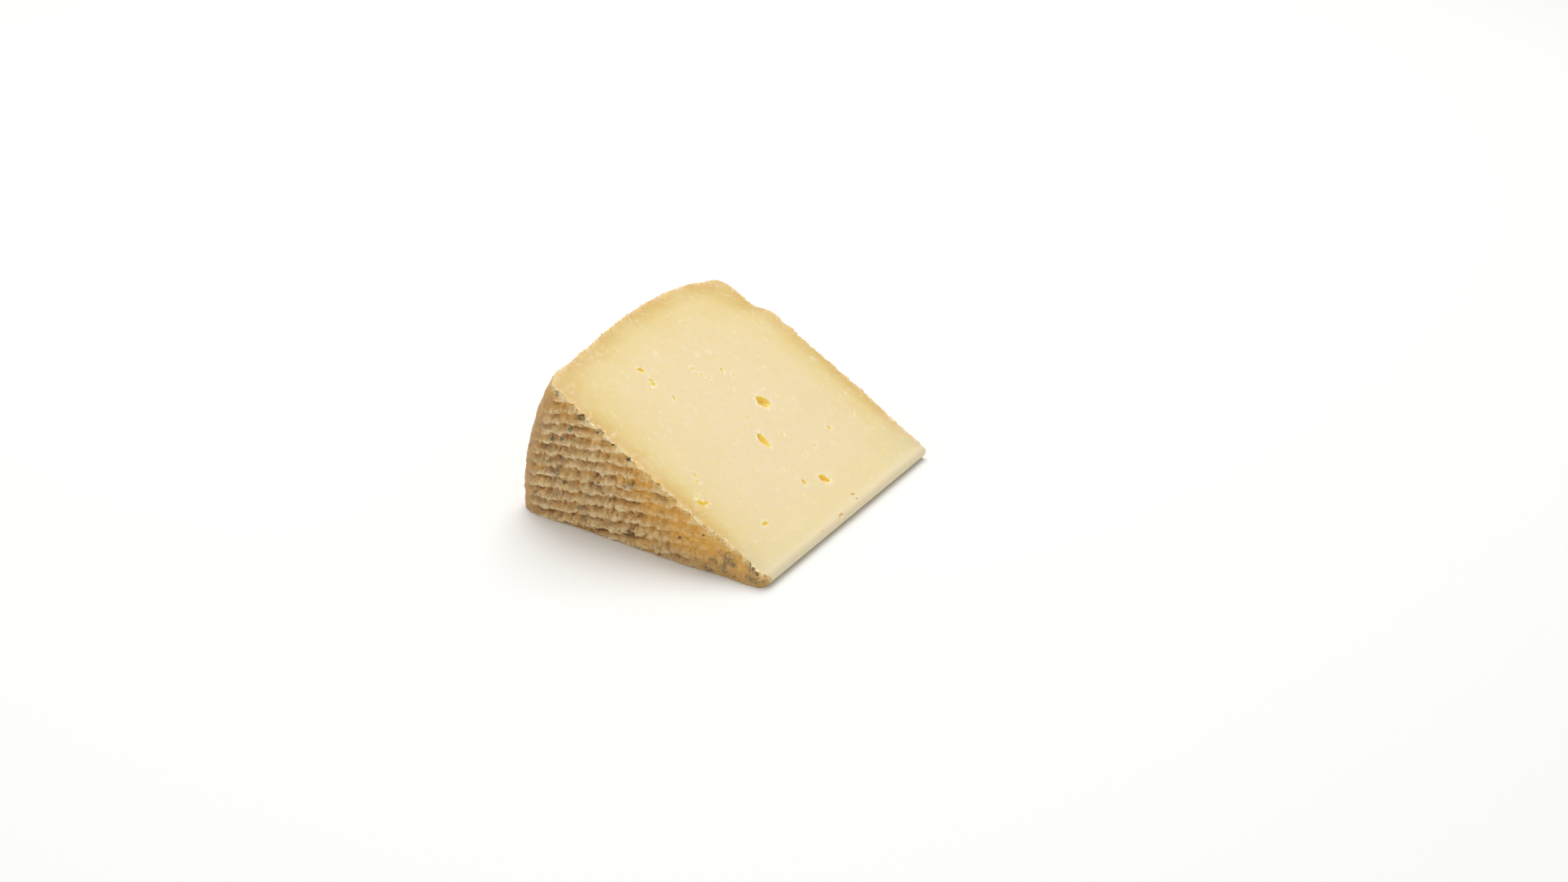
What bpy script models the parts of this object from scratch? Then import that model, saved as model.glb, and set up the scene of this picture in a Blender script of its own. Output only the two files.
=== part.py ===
"""A wedge of manchego cheese, cut from a drum-shaped wheel and lying on one of its cut faces.

The wedge is made the way the real one is. A whole wheel is turned from its profile, the flat
faces of the wheel get the parallel ridges that its mould leaves, and two knife cuts take a
30 degree wedge out of it. The largest openings of the paste are hollowed out of the upper cut.

The wheel's axis lies along Y. The lower cut is the plane Z = 0, the wheel's outer side faces -X,
and the flat face with the ridges that show faces -Y. Lengths are in metres.
"""

import math

import bmesh
import bpy
from mathutils import Matrix, Vector

# The wheel
WHEEL_HEIGHT = 0.1055
WHEEL_RADIUS = 0.1036
WHEEL_STEPS = 216
NEAR_CORNER = 0.0075
FAR_CORNER = 0.0070
RIM_STEP = 0.0048
RIM_STEP_INNER = 0.075
RIM_STEP_OUTER = 0.083
CENTRE_DISH = 0.0010
CENTRE_DISH_INNER = 0.015
CENTRE_DISH_OUTER = 0.031
AXIS_UNDER_LOWER_CUT = 0.0010

# The outer side bulges unevenly: places along the axis, and how far each lies inside the radius
SIDE_SWAY = (
    (0.0075, 0.0055),
    (0.0190, 0.0044),
    (0.0380, 0.0016),
    (0.0580, 0.0000),
    (0.0760, 0.0004),
    (0.0860, 0.0019),
    (0.0937, 0.0047),
)
SIDE_STEPS = 3

# The two knife cuts and the blunt edge between them
WEDGE_ANGLE = math.radians(29.7)
UPPER_CUT_OFFSET = 0.00426
EDGE_RADIUS = 0.00258
EDGE_STEPS = 7
CORNER_CHAMFER = 0.0023
CORNER_TURN = math.radians(45)

# The ridges that the mould presses into the wheel's flat faces
RIDGE_PITCH = 0.00405
RIDGE_COUNT = 14
RIDGE_DEPTH = 0.0012
RIDGE_SKIM = 0.00015
RIDGE_TURN = math.radians(8.1)
RIDGE_TOP = 0.0555

# The wedge is centred on its own box, so its frame is moved from the wheel's axis
EDGE_REACH = 0.00145
TO_BOX_CENTRE = Vector(((WHEEL_RADIUS - EDGE_REACH) / 2, -WHEEL_HEIGHT / 2, 0.0))

# Each opening is up the slope from the axis, along the axis, long, short, turn in degrees
OPENINGS = (
    (0.0492, 0.0641, 0.0066, 0.0032, 3),
    (0.0380, 0.0494, 0.0058, 0.0023, -17),
    (0.0149, 0.0554, 0.0042, 0.0022, 26),
    (0.0333, 0.0071, 0.0034, 0.0019, 31),
    (0.0151, 0.0196, 0.0016, 0.0015, 0),
    (0.0182, 0.0474, 0.0028, 0.0013, -11),
    (0.0767, 0.0337, 0.0035, 0.0014, -10),
    (0.0824, 0.0344, 0.0024, 0.0018, 30),
)
OPENING_SUNK = 0.3

RIND_COLOUR = (0.44, 0.30, 0.15, 1.0)
PASTE_COLOUR = (0.86, 0.72, 0.44, 1.0)


def make_collection(name):
    """Return a new collection of the scene."""
    collection = bpy.data.collections.new(name)
    bpy.context.scene.collection.children.link(collection)
    return collection


def make_material(name, colour, roughness):
    """Return a plain Principled material."""
    material = bpy.data.materials.new(name)
    material.use_nodes = True
    shader = material.node_tree.nodes["Principled BSDF"]
    shader.inputs["Base Color"].default_value = colour
    shader.inputs["Roughness"].default_value = roughness
    shader.inputs["Metallic"].default_value = 0.0
    material.diffuse_color = colour
    return material


def add_object(name, mesh, material, collection, frame):
    """Put a mesh in the collection as an object of the wedge's frame."""
    mesh.materials.append(material)
    new_object = bpy.data.objects.new(name, mesh)
    new_object.parent = frame
    collection.objects.link(new_object)
    return new_object


def hide_cutter(cutter):
    """Mark an object as a cutter that is no part of the cheese."""
    cutter.hide_render = True
    cutter.display_type = 'WIRE'


def arc(centre, radius, start, end, steps):
    """Return points along an arc, from one angle in degrees to another."""
    angles = [math.radians(start + (end - start) * step / steps) for step in range(steps + 1)]
    return [(centre[0] + radius * math.cos(a), centre[1] + radius * math.sin(a)) for a in angles]


def prism(name, outline, length, material, collection, frame):
    """Extrude a flat outline, half its length to each side, as a closed mesh cutter."""
    curve = bpy.data.curves.new(name + "_outline", 'CURVE')
    curve.dimensions = '2D'
    curve.fill_mode = 'BOTH'
    curve.extrude = length / 2
    spline = curve.splines.new('POLY')
    spline.points.add(len(outline) - 1)
    for point, (x, y) in zip(spline.points, outline):
        point.co = (x, y, 0.0, 1.0)
    spline.use_cyclic_u = True

    source = bpy.data.objects.new(name + "_outline", curve)
    bpy.context.scene.collection.objects.link(source)
    depsgraph = bpy.context.evaluated_depsgraph_get()
    mesh = bpy.data.meshes.new_from_object(source.evaluated_get(depsgraph))
    mesh.name = name
    bpy.data.objects.remove(source)

    mesh.materials.clear()
    shape = bmesh.new()
    shape.from_mesh(mesh)
    bmesh.ops.remove_doubles(shape, verts=shape.verts, dist=0.000001)
    bmesh.ops.recalc_face_normals(shape, faces=shape.faces)
    shape.to_mesh(mesh)
    shape.free()

    cutter = add_object(name, mesh, material, collection, frame)
    hide_cutter(cutter)
    return cutter


def smooth_run(points, steps):
    """Return a smooth run through the points, with some steps between each two of them."""
    corners = [Vector(point) for point in (points[0], *points, points[-1])]
    run = []
    for a, b, c, d in zip(corners, corners[1:], corners[2:], corners[3:]):
        for step in range(steps):
            t = step / steps
            bend = (2 * a - 5 * b + 4 * c - d) * t * t + (3 * b - a - 3 * c + d) * t * t * t
            run.append(tuple((2 * b + (c - a) * t + bend) / 2))
    run.append(tuple(points[-1]))
    return run


def wheel_profile():
    """Return the wheel's half outline as radius and height, down the outer side from the top.

    The flat faces are dished round the centre, the far one steps down before its rim, and the
    side bulges between two rounded corners.
    """
    far_face = [
        (0.0, WHEEL_HEIGHT - CENTRE_DISH),
        (CENTRE_DISH_INNER, WHEEL_HEIGHT - CENTRE_DISH),
        (CENTRE_DISH_OUTER, WHEEL_HEIGHT),
        (RIM_STEP_INNER, WHEEL_HEIGHT - CENTRE_DISH / 2),
        (RIM_STEP_OUTER, WHEEL_HEIGHT - RIM_STEP),
    ]
    side = [(WHEEL_RADIUS - inside, height) for height, inside in reversed(SIDE_SWAY)]
    far_centre = (side[0][0] - FAR_CORNER, side[0][1])
    near_centre = (side[-1][0] - NEAR_CORNER, NEAR_CORNER)
    far_corner = arc(far_centre, FAR_CORNER, 90, 10, 6)
    near_corner = arc(near_centre, NEAR_CORNER, -8, -90, 6)
    near_face = [
        (CENTRE_DISH_OUTER, 0.0),
        (CENTRE_DISH_INNER, CENTRE_DISH),
        (0.0, CENTRE_DISH),
    ]
    return far_face + far_corner + smooth_run(side, SIDE_STEPS) + near_corner + near_face


def build_wheel(material, collection, frame):
    """Turn the whole wheel from its profile, with its axis along Y."""
    profile = wheel_profile()
    mesh = bpy.data.meshes.new("cheese_wedge")
    vertices = [(radius, 0.0, height) for radius, height in profile]
    edges = [(index, index + 1) for index in range(len(profile) - 1)]
    mesh.from_pydata(vertices, edges, [])
    wheel = add_object("cheese_wedge", mesh, material, collection, frame)
    wheel.location = (0.0, 0.0, -AXIS_UNDER_LOWER_CUT)
    wheel.rotation_euler = (math.radians(-90), 0.0, 0.0)

    screw = wheel.modifiers.new("turn", 'SCREW')
    screw.axis = 'Z'
    screw.steps = WHEEL_STEPS
    screw.render_steps = WHEEL_STEPS
    screw.use_merge_vertices = True
    screw.merge_threshold = 0.00001
    screw.use_smooth_shade = False
    return wheel


def slope_directions():
    """Return the directions up the upper cut face and square out of it."""
    up_slope = Vector((-math.cos(WEDGE_ANGLE), 0.0, math.sin(WEDGE_ANGLE)))
    out = Vector((math.sin(WEDGE_ANGLE), 0.0, math.cos(WEDGE_ANGLE)))
    return up_slope, out


def build_knife_wedge(material, collection, frame):
    """Make the wedge that the knife cuts out of the wheel, with its blunt edge rounded."""
    up_slope, out = slope_directions()
    reach = WHEEL_RADIUS * 1.4
    edge_x = (UPPER_CUT_OFFSET - EDGE_RADIUS - out.z * EDGE_RADIUS) / out.x
    far_up = out * UPPER_CUT_OFFSET + up_slope * reach
    outline = [(-reach, 0.0)]
    edge_end = 90 - math.degrees(WEDGE_ANGLE)
    outline += arc((edge_x, EDGE_RADIUS), EDGE_RADIUS, -90, edge_end, EDGE_STEPS)
    outline += [(far_up.x, far_up.z), (-reach, far_up.z)]
    wedge = prism("knife_wedge", outline, WHEEL_HEIGHT * 2, material, collection, frame)
    wedge.rotation_euler = (math.radians(90), 0.0, 0.0)
    return wedge


def ridge_outline():
    """Return the outline, across the ridges and into the face, that the mould presses in.

    Each ridge slopes gently out to its crest and turns sharply in again under it.
    """
    outline = [(RIDGE_TOP + RIDGE_PITCH, -RIDGE_DEPTH * 4)]
    for index in range(RIDGE_COUNT):
        groove = RIDGE_TOP - RIDGE_PITCH * index
        outline += [
            (groove + RIDGE_PITCH * 0.30, RIDGE_SKIM * 2),
            (groove + RIDGE_PITCH * 0.16, RIDGE_SKIM),
            (groove + RIDGE_PITCH * 0.05, RIDGE_SKIM * 3),
            (groove, RIDGE_DEPTH),
            (groove - RIDGE_PITCH * 0.14, RIDGE_DEPTH),
        ]
    outline.append((RIDGE_TOP - RIDGE_PITCH * RIDGE_COUNT, -RIDGE_DEPTH * 4))
    return outline


def build_ridge_press(name, face_y, material, collection, frame):
    """Make the mould's ridged print for the flat face at the given place along the axis."""
    middle_x = -WHEEL_RADIUS * 0.6
    press = prism(name, ridge_outline(), WHEEL_RADIUS * 2.6, material, collection, frame)
    press.location = (middle_x, face_y, middle_x * math.tan(RIDGE_TURN))
    press.rotation_euler = (0.0, -(math.radians(90) + RIDGE_TURN), 0.0)
    if face_y > 0:
        press.scale.y = -1.0
    return press


def build_corner_chamfer(material, collection, frame):
    """Make the block that takes the sharp corner off the near end of the blunt edge."""
    size = CORNER_CHAMFER * 8
    shape = bmesh.new()
    bmesh.ops.create_cube(shape, size=size)
    mesh = bpy.data.meshes.new("corner_chamfer")
    shape.to_mesh(mesh)
    shape.free()
    block = add_object("corner_chamfer", mesh, material, collection, frame)
    outward = Vector((math.cos(CORNER_TURN), -math.sin(CORNER_TURN), 0.0))
    block.rotation_euler = (0.0, 0.0, -CORNER_TURN)
    corner = Vector((EDGE_REACH, CENTRE_DISH, EDGE_RADIUS))
    block.location = corner + outward * (size / 2 - CORNER_CHAMFER)
    hide_cutter(block)
    return block


def build_opening(name, place, material, collection, frame):
    """Make the rounded hollow of one opening in the upper cut face."""
    slope, along, length, width, turn = place
    up_slope, out = slope_directions()
    shape = bmesh.new()
    bmesh.ops.create_uvsphere(shape, u_segments=14, v_segments=8, radius=0.5)
    depth = (length + width) / 2
    size = Matrix.Diagonal((length, width, depth, 1.0))
    spin = Matrix.Rotation(math.radians(turn), 4, 'Z')
    bmesh.ops.transform(shape, matrix=spin @ size, verts=shape.verts)
    mesh = bpy.data.meshes.new(name)
    shape.to_mesh(mesh)
    shape.free()
    hollow = add_object(name, mesh, material, collection, frame)
    axis = Vector((0.0, 1.0, 0.0))
    square = Matrix((up_slope, out.cross(up_slope), out)).transposed()
    hollow.rotation_euler = square.to_euler()
    hollow.location = out * (UPPER_CUT_OFFSET - depth * OPENING_SUNK) + up_slope * slope + axis * along
    hide_cutter(hollow)
    return hollow


def cut(target, name, operation, cutter=None, collection=None):
    """Add one Boolean to the wheel, with the cut faces taking the cutter's material."""
    boolean = target.modifiers.new(name, 'BOOLEAN')
    boolean.operation = operation
    boolean.solver = 'EXACT'
    boolean.material_mode = 'TRANSFER'
    if collection is None:
        boolean.object = cutter
    else:
        boolean.operand_type = 'COLLECTION'
        boolean.collection = collection


def clear_scene():
    """Remove whatever the scene starts with."""
    for old_object in list(bpy.data.objects):
        bpy.data.objects.remove(old_object)


def main():
    """Build the cheese wedge."""
    clear_scene()
    cheese_parts = make_collection("manchego_wedge")
    knife_cutters = make_collection("knife_cutters")
    mould_cutters = make_collection("mould_cutters")
    opening_cutters = make_collection("opening_cutters")
    rind = make_material("rind", RIND_COLOUR, 0.75)
    paste = make_material("paste", PASTE_COLOUR, 0.5)

    frame = bpy.data.objects.new("wheel_axis", None)
    frame.location = TO_BOX_CENTRE
    cheese_parts.objects.link(frame)

    wheel = build_wheel(rind, cheese_parts, frame)
    near_press = build_ridge_press("near_ridges", 0.0, rind, mould_cutters, frame)
    far_press = build_ridge_press("far_ridges", WHEEL_HEIGHT, rind, mould_cutters, frame)
    knife = build_knife_wedge(paste, knife_cutters, frame)
    corner = build_corner_chamfer(rind, knife_cutters, frame)
    for index, place in enumerate(OPENINGS):
        build_opening(f"opening_{index + 1}", place, paste, opening_cutters, frame)

    cut(wheel, "near_ridges", 'DIFFERENCE', cutter=near_press)
    cut(wheel, "far_ridges", 'DIFFERENCE', cutter=far_press)
    cut(wheel, "knife_cuts", 'INTERSECT', cutter=knife)
    cut(wheel, "corner", 'DIFFERENCE', cutter=corner)
    cut(wheel, "openings", 'DIFFERENCE', collection=opening_cutters)


main()
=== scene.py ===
"""The looks of a wedge of manchego cheese: its cut paste, its ridged rind, crumbs and openings.

The wedge is made again in fine mesh the way the solid is. A wheel with the relief of its mould
is met by the two knife cuts, openings and chips are taken out of it, and crumbs lie on its edges.
Sizes inside the classes are millimetres in the wheel's own frame: the wheel's axis is the Y axis,
its near flat face is Y = 0, the lower cut is Z = 0 and the outer side faces -X.
"""

from __future__ import annotations

import logging
import math
from dataclasses import dataclass, field
from enum import Enum
from typing import Any, Iterable, Sequence

import bmesh
import bpy
import numpy as np
from mathutils import Matrix, Vector

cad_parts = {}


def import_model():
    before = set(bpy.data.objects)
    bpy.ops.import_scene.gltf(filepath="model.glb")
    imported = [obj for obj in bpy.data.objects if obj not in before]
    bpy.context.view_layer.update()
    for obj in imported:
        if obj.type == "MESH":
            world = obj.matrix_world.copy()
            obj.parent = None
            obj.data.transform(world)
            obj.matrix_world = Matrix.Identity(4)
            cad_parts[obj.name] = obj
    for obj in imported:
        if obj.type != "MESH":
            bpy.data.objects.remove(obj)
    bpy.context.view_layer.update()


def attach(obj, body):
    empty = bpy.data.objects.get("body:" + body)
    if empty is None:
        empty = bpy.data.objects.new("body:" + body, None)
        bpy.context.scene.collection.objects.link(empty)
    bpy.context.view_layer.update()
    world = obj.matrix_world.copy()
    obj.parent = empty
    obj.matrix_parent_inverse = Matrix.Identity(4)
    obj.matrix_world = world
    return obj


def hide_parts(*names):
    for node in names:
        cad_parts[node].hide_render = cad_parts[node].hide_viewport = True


LOG = logging.getLogger("cheese")
MM = 0.001
NODE = "cheese_wedge"
BODY = "root"

Faces = list[tuple[int, ...]]
ALONG = np.array([0.0, 1.0, 0.0])
UP = np.array([0.0, 0.0, 1.0])
FLATTEN = np.array([1.0, 0.0, 1.0])


class Skin(Enum):
    """Which kind of surface a face of the wedge is. The value is its material's place."""

    RIND = 0
    PASTE = 1
    OPENING = 2
    TORN = 3


def smooth_step(values: np.ndarray, low: float, high: float) -> np.ndarray:
    """Ease from 0 at low to 1 at high.

    Args:
        values: The numbers to ease.
        low: Where the step starts. It may lie above high, for a falling step.
        high: Where the step ends.

    Returns:
        The eased numbers, from 0 to 1.
    """
    t = np.clip((values - low) / (high - low), 0.0, 1.0)
    return t * t * (3.0 - 2.0 * t)


def grid_faces(rows: int, columns: int, closed: bool = False) -> Faces:
    """Join a grid of points, given row after row, with faces.

    Args:
        rows: How many rows there are.
        columns: How many points each row has.
        closed: Whether the last point of each row is joined to its first.

    Returns:
        The four points of each face.
    """
    faces: Faces = []
    for row in range(rows - 1):
        for column in range(columns if closed else columns - 1):
            corner = row * columns + column
            after = row * columns + (column + 1) % columns
            faces.append((corner, after, after + columns, corner + columns))
    return faces


def read_shape(shape: bmesh.types.BMesh) -> tuple[np.ndarray, Faces]:
    """Return a shape's points and faces, and free it.

    Args:
        shape: The shape, which is used up.

    Returns:
        Its points, and the points of each face.
    """
    points = np.array([vertex.co[:] for vertex in shape.verts])
    faces = [tuple(vertex.index for vertex in face.verts) for face in shape.faces]
    shape.free()
    return points, faces


def add_object(name: str, data: bpy.types.ID) -> bpy.types.Object:
    """Put a mesh, camera or lamp in the scene.

    Args:
        name: The object's name.
        data: Its mesh, camera or lamp.

    Returns:
        The new object.
    """
    thing = bpy.data.objects.new(name, data)
    bpy.context.scene.collection.objects.link(thing)
    return thing


@dataclass(frozen=True)
class Grain:
    """Smooth random numbers that fill space, the same in every run."""

    seed: int

    def _corner(self, x: np.ndarray, y: np.ndarray, z: np.ndarray) -> np.ndarray:
        """Return a random number from -1 to 1 for each whole-numbered place.

        Args:
            x: Whole numbers along X.
            y: Whole numbers along Y.
            z: Whole numbers along Z.

        Returns:
            The number of each place.
        """
        mixed = x * 374761393 + y * 668265263 + z * 1440662683 + self.seed * 1013904223
        mixed = mixed & 0xFFFFFFFF
        mixed = ((mixed ^ (mixed >> 13)) * 1274126177) & 0xFFFFFFFF
        mixed = ((mixed ^ (mixed >> 16)) * 2246822519) & 0xFFFFFFFF
        return (mixed ^ (mixed >> 15)) / 2147483647.5 - 1.0

    def at(self, points: np.ndarray, size: float) -> np.ndarray:
        """Read the grain.

        Args:
            points: Places, one to a row.
            size: How far apart its bumps are.

        Returns:
            A number from -1 to 1 for each place.
        """
        place = points / size + 1000.0
        cell = np.floor(place).astype(np.int64)
        part = place - cell
        ease = part * part * (3.0 - 2.0 * part)
        total = np.zeros(len(points))
        for i in (0, 1):
            for j in (0, 1):
                for k in (0, 1):
                    weight = np.where(i, ease[:, 0], 1.0 - ease[:, 0])
                    weight = weight * np.where(j, ease[:, 1], 1.0 - ease[:, 1])
                    weight = weight * np.where(k, ease[:, 2], 1.0 - ease[:, 2])
                    total += weight * self._corner(cell[:, 0] + i, cell[:, 1] + j, cell[:, 2] + k)
        return total

    def layered(self, points: np.ndarray, size: float, layers: int = 3) -> np.ndarray:
        """Add finer and weaker grain to the first, halving both each time.

        Args:
            points: Places, one to a row, in millimetres.
            size: How far apart the first grain's bumps are.
            layers: How many grains are added up.

        Returns:
            A number from -1 to 1 for each place.
        """
        total = np.zeros(len(points))
        for layer in range(layers):
            total += self.at(points + 17.3 * layer, size / 2**layer) / 2**layer
        return total / (2.0 - 0.5 ** (layers - 1))


@dataclass(frozen=True)
class Wheel:
    """The whole wheel that the wedge was cut from, in millimetres."""

    height: float = 105.5
    radius: float = 103.6
    near_corner: float = 7.5
    far_corner: float = 7.0
    centre_dish: float = 1.0
    dish_inner: float = 15.0
    dish_outer: float = 31.0
    rim_step: float = 4.8
    step_inner: float = 75.0
    step_outer: float = 83.0
    axis_z: float = -1.0
    side_sway: tuple[tuple[float, float], ...] = (
        (7.5, 5.5),
        (19.0, 4.4),
        (38.0, 1.6),
        (58.0, 0.0),
        (76.0, 0.4),
        (86.0, 1.9),
        (93.7, 4.7),
    )

    def side_radius(self, along: np.ndarray) -> np.ndarray:
        """Return the bulging side's radius at places along the axis.

        Args:
            along: The places.

        Returns:
            The radius at each.
        """
        places = np.array([place for place, _ in self.side_sway])
        inside = np.array([sway for _, sway in self.side_sway])
        index = np.clip(np.searchsorted(places, along, side="right") - 1, 0, len(places) - 2)
        t = np.clip((along - places[index]) / (places[index + 1] - places[index]), 0.0, 1.0)
        a = inside[np.maximum(index - 1, 0)]
        b = inside[index]
        c = inside[index + 1]
        d = inside[np.minimum(index + 2, len(inside) - 1)]
        bend = (2 * a - 5 * b + 4 * c - d) * t**2 + (3 * b - a - 3 * c + d) * t**3
        return self.radius - (2 * b + (c - a) * t + bend) / 2

    @property
    def centre(self) -> np.ndarray:
        """Return where the axis meets the plane of the near flat face."""
        return UP * self.axis_z

    def near_face(self, radius: np.ndarray) -> np.ndarray:
        """Return where the near flat face, dished in at its centre, lies along the axis."""
        return self.centre_dish * smooth_step(radius, self.dish_outer, self.dish_inner)

    def far_face(self, radius: np.ndarray) -> np.ndarray:
        """Return where the far flat face, dished in and stepped, lies along the axis."""
        step = self.rim_step * smooth_step(radius, self.step_inner, self.step_outer)
        return self.height - self.near_face(radius) - step

    def near_rim(self) -> float:
        """Return the radius where the near flat face turns into its corner."""
        return self.radius - self.side_sway[0][1] - self.near_corner

    def far_rim(self) -> float:
        """Return the radius where the far flat face turns into its corner."""
        return self.radius - self.side_sway[-1][1] - self.far_corner

    def side_profile(self, spacing: float) -> list[tuple[float, float, float, float]]:
        """Return the side's outline from the near flat face to the far one.

        Args:
            spacing: The step along the side.

        Returns:
            Radius, place along the axis, and the outward direction in the same two.
        """
        start, end = self.side_sway[0][0], self.side_sway[-1][0]
        rows = self._corner(self.near_rim(), start, self.near_corner, np.linspace(-90.0, -8.0, 11)[1:])
        places = np.linspace(start, end, int((end - start) / spacing))[1:-1]
        slope = self.side_radius(places + 0.5) - self.side_radius(places - 0.5)
        for place, radius, lean in zip(places, self.side_radius(places), slope):
            size = math.hypot(1.0, lean)
            rows.append((radius, place, 1.0 / size, -lean / size))
        return rows + self._corner(self.far_rim(), end, self.far_corner, np.linspace(10.0, 90.0, 9))

    def _corner(
        self, rim: float, along: float, size: float, turns: np.ndarray
    ) -> list[tuple[float, float, float, float]]:
        """Return the part of the side's outline that rounds a corner, through some turns.

        Args:
            rim: The radius where the corner starts or ends on its flat face.
            along: Where the centre of its arc lies along the axis.
            size: The arc's radius.
            turns: The turns, in degrees, that get a row.

        Returns:
            Radius, place along the axis, and the outward direction in the same two.
        """
        ways = [(math.cos(math.radians(turn)), math.sin(math.radians(turn))) for turn in turns]
        return [(rim + size * out, along + size * ahead, out, ahead) for out, ahead in ways]

    def radius_of(self, points: np.ndarray) -> np.ndarray:
        """Return how far points lie from the wheel's axis."""
        return np.hypot(points[:, 0], points[:, 2] - self.axis_z)

    def depth(self, points: np.ndarray) -> np.ndarray:
        """Return how deep points lie under the rind, less in a corner where it is near twice.

        Args:
            points: Places, one to a row, in millimetres.

        Returns:
            The depth of each.
        """
        radius = self.radius_of(points)
        near = points[:, 1] - self.near_face(radius)
        far = self.far_face(radius) - points[:, 1]
        along = np.clip(points[:, 1], self.side_sway[0][0], self.side_sway[-1][0])
        side = self.side_radius(along) - radius
        shares = [1.0 / np.maximum(distance, 0.05) for distance in (near, far, side)]
        return 1.0 / sum(shares)


EDGE_REACH = 1.45
FRAME_SHIFT = np.array([(Wheel().radius - EDGE_REACH) / 2, -Wheel().height / 2, 0.0])


def to_frame(points: np.ndarray) -> np.ndarray:
    """Take points from the wheel's own millimetres to the frame's metres."""
    return (points + FRAME_SHIFT) * MM


@dataclass(frozen=True)
class KnifeCuts:
    """The two knife cuts that free the wedge and the blunt edge between them."""

    angle: float = math.radians(29.7)
    offset: float = 4.26
    edge_radius: float = 2.58
    reach: float = 145.0
    slope_end: float = 112.0
    upper_spacing: float = 1.1
    row_spacing: float = 1.2
    overrun: float = 6.0
    sway: float = 0.16
    edge_zone: float = 8.0
    grain: Grain = Grain(11)

    @property
    def up_slope(self) -> np.ndarray:
        """Return the direction up the upper cut, away from the axis."""
        return np.array([-math.cos(self.angle), 0.0, math.sin(self.angle)])

    @property
    def out(self) -> np.ndarray:
        """Return the direction square out of the upper cut."""
        return np.array([math.sin(self.angle), 0.0, math.cos(self.angle)])

    @property
    def edge_x(self) -> float:
        """Return where the centre of the rounded edge lies."""
        gap = self.offset - self.edge_radius - self.out[2] * self.edge_radius
        return gap / self.out[0]

    def on_upper(self, slope: float, along: float, lift: float = 0.0) -> np.ndarray:
        """Return a place on the upper cut, or lifted off it."""
        return self.out * (self.offset + lift) + self.up_slope * slope + ALONG * along

    def slope_of(self, points: np.ndarray) -> np.ndarray:
        """Return how far up the upper cut points lie."""
        return points @ self.up_slope

    def under_upper(self, points: np.ndarray) -> np.ndarray:
        """Return how deep points lie under the plane of the upper cut."""
        return self.offset - points @ self.out

    def outline(self) -> tuple[np.ndarray, np.ndarray]:
        """Return the section's points and how far the upper cut's waves move each.

        Returns:
            The points, and a share from 0 to 1 for each.
        """
        points = [(-self.reach, 0.0), (-self.reach / 2, 0.0)]
        moved = [0.0, 0.0]
        end = 90.0 - math.degrees(self.angle)
        for turn in np.linspace(-90.0, end, 10):
            way = math.radians(turn)
            points.append((
                self.edge_x + self.edge_radius * math.cos(way),
                self.edge_radius + self.edge_radius * math.sin(way),
            ))
            moved.append(float(np.clip((turn + 60.0) / 90.0, 0.0, 1.0)))
        start = np.array([points[-1][0], 0.0, points[-1][1]]) @ self.up_slope
        for slope in np.arange(start, self.slope_end, self.upper_spacing)[1:]:
            place = self.on_upper(slope, 0.0)
            points.append((place[0], place[2]))
            moved.append(1.0)
        points.append((-self.reach, points[-1][1]))
        moved.append(0.0)
        return np.array(points), np.array(moved)

    def build(self, wheel: Wheel) -> tuple[np.ndarray, Faces]:
        """Return the vertices and faces of what the knife leaves of the wheel.

        Args:
            wheel: The wheel that is cut.

        Returns:
            The points, and the points of each face.
        """
        outline, moved = self.outline()
        count = len(outline)
        length = wheel.height + 2 * self.overrun
        rows = np.linspace(-self.overrun, wheel.height + self.overrun, int(length / self.row_spacing))
        points = np.zeros((len(rows), count, 3))
        points[:, :, 0] = outline[None, :, 0]
        points[:, :, 1] = rows[:, None]
        points[:, :, 2] = outline[None, :, 1]
        flat = points.reshape(-1, 3)
        wave = self.grain.layered(flat * np.array([0.6, 1.0, 0.6]), 24.0, 3) * self.sway
        wave += self.grain.at(flat + 50.0, 3.2) * self.sway * 0.10
        edge = np.abs(self.slope_of(flat)) < self.edge_zone
        wave += np.where(edge, self.grain.layered(flat + 90.0, 9.0, 2) * self.sway * 1.2, 0.0)
        points = flat + np.tile(moved, len(rows))[:, None] * wave[:, None] * self.out
        faces = grid_faces(len(rows), count, closed=True)
        faces.append(tuple(reversed(range(count))))
        faces.append(tuple(range((len(rows) - 1) * count, len(rows) * count)))
        return points, faces


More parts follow.
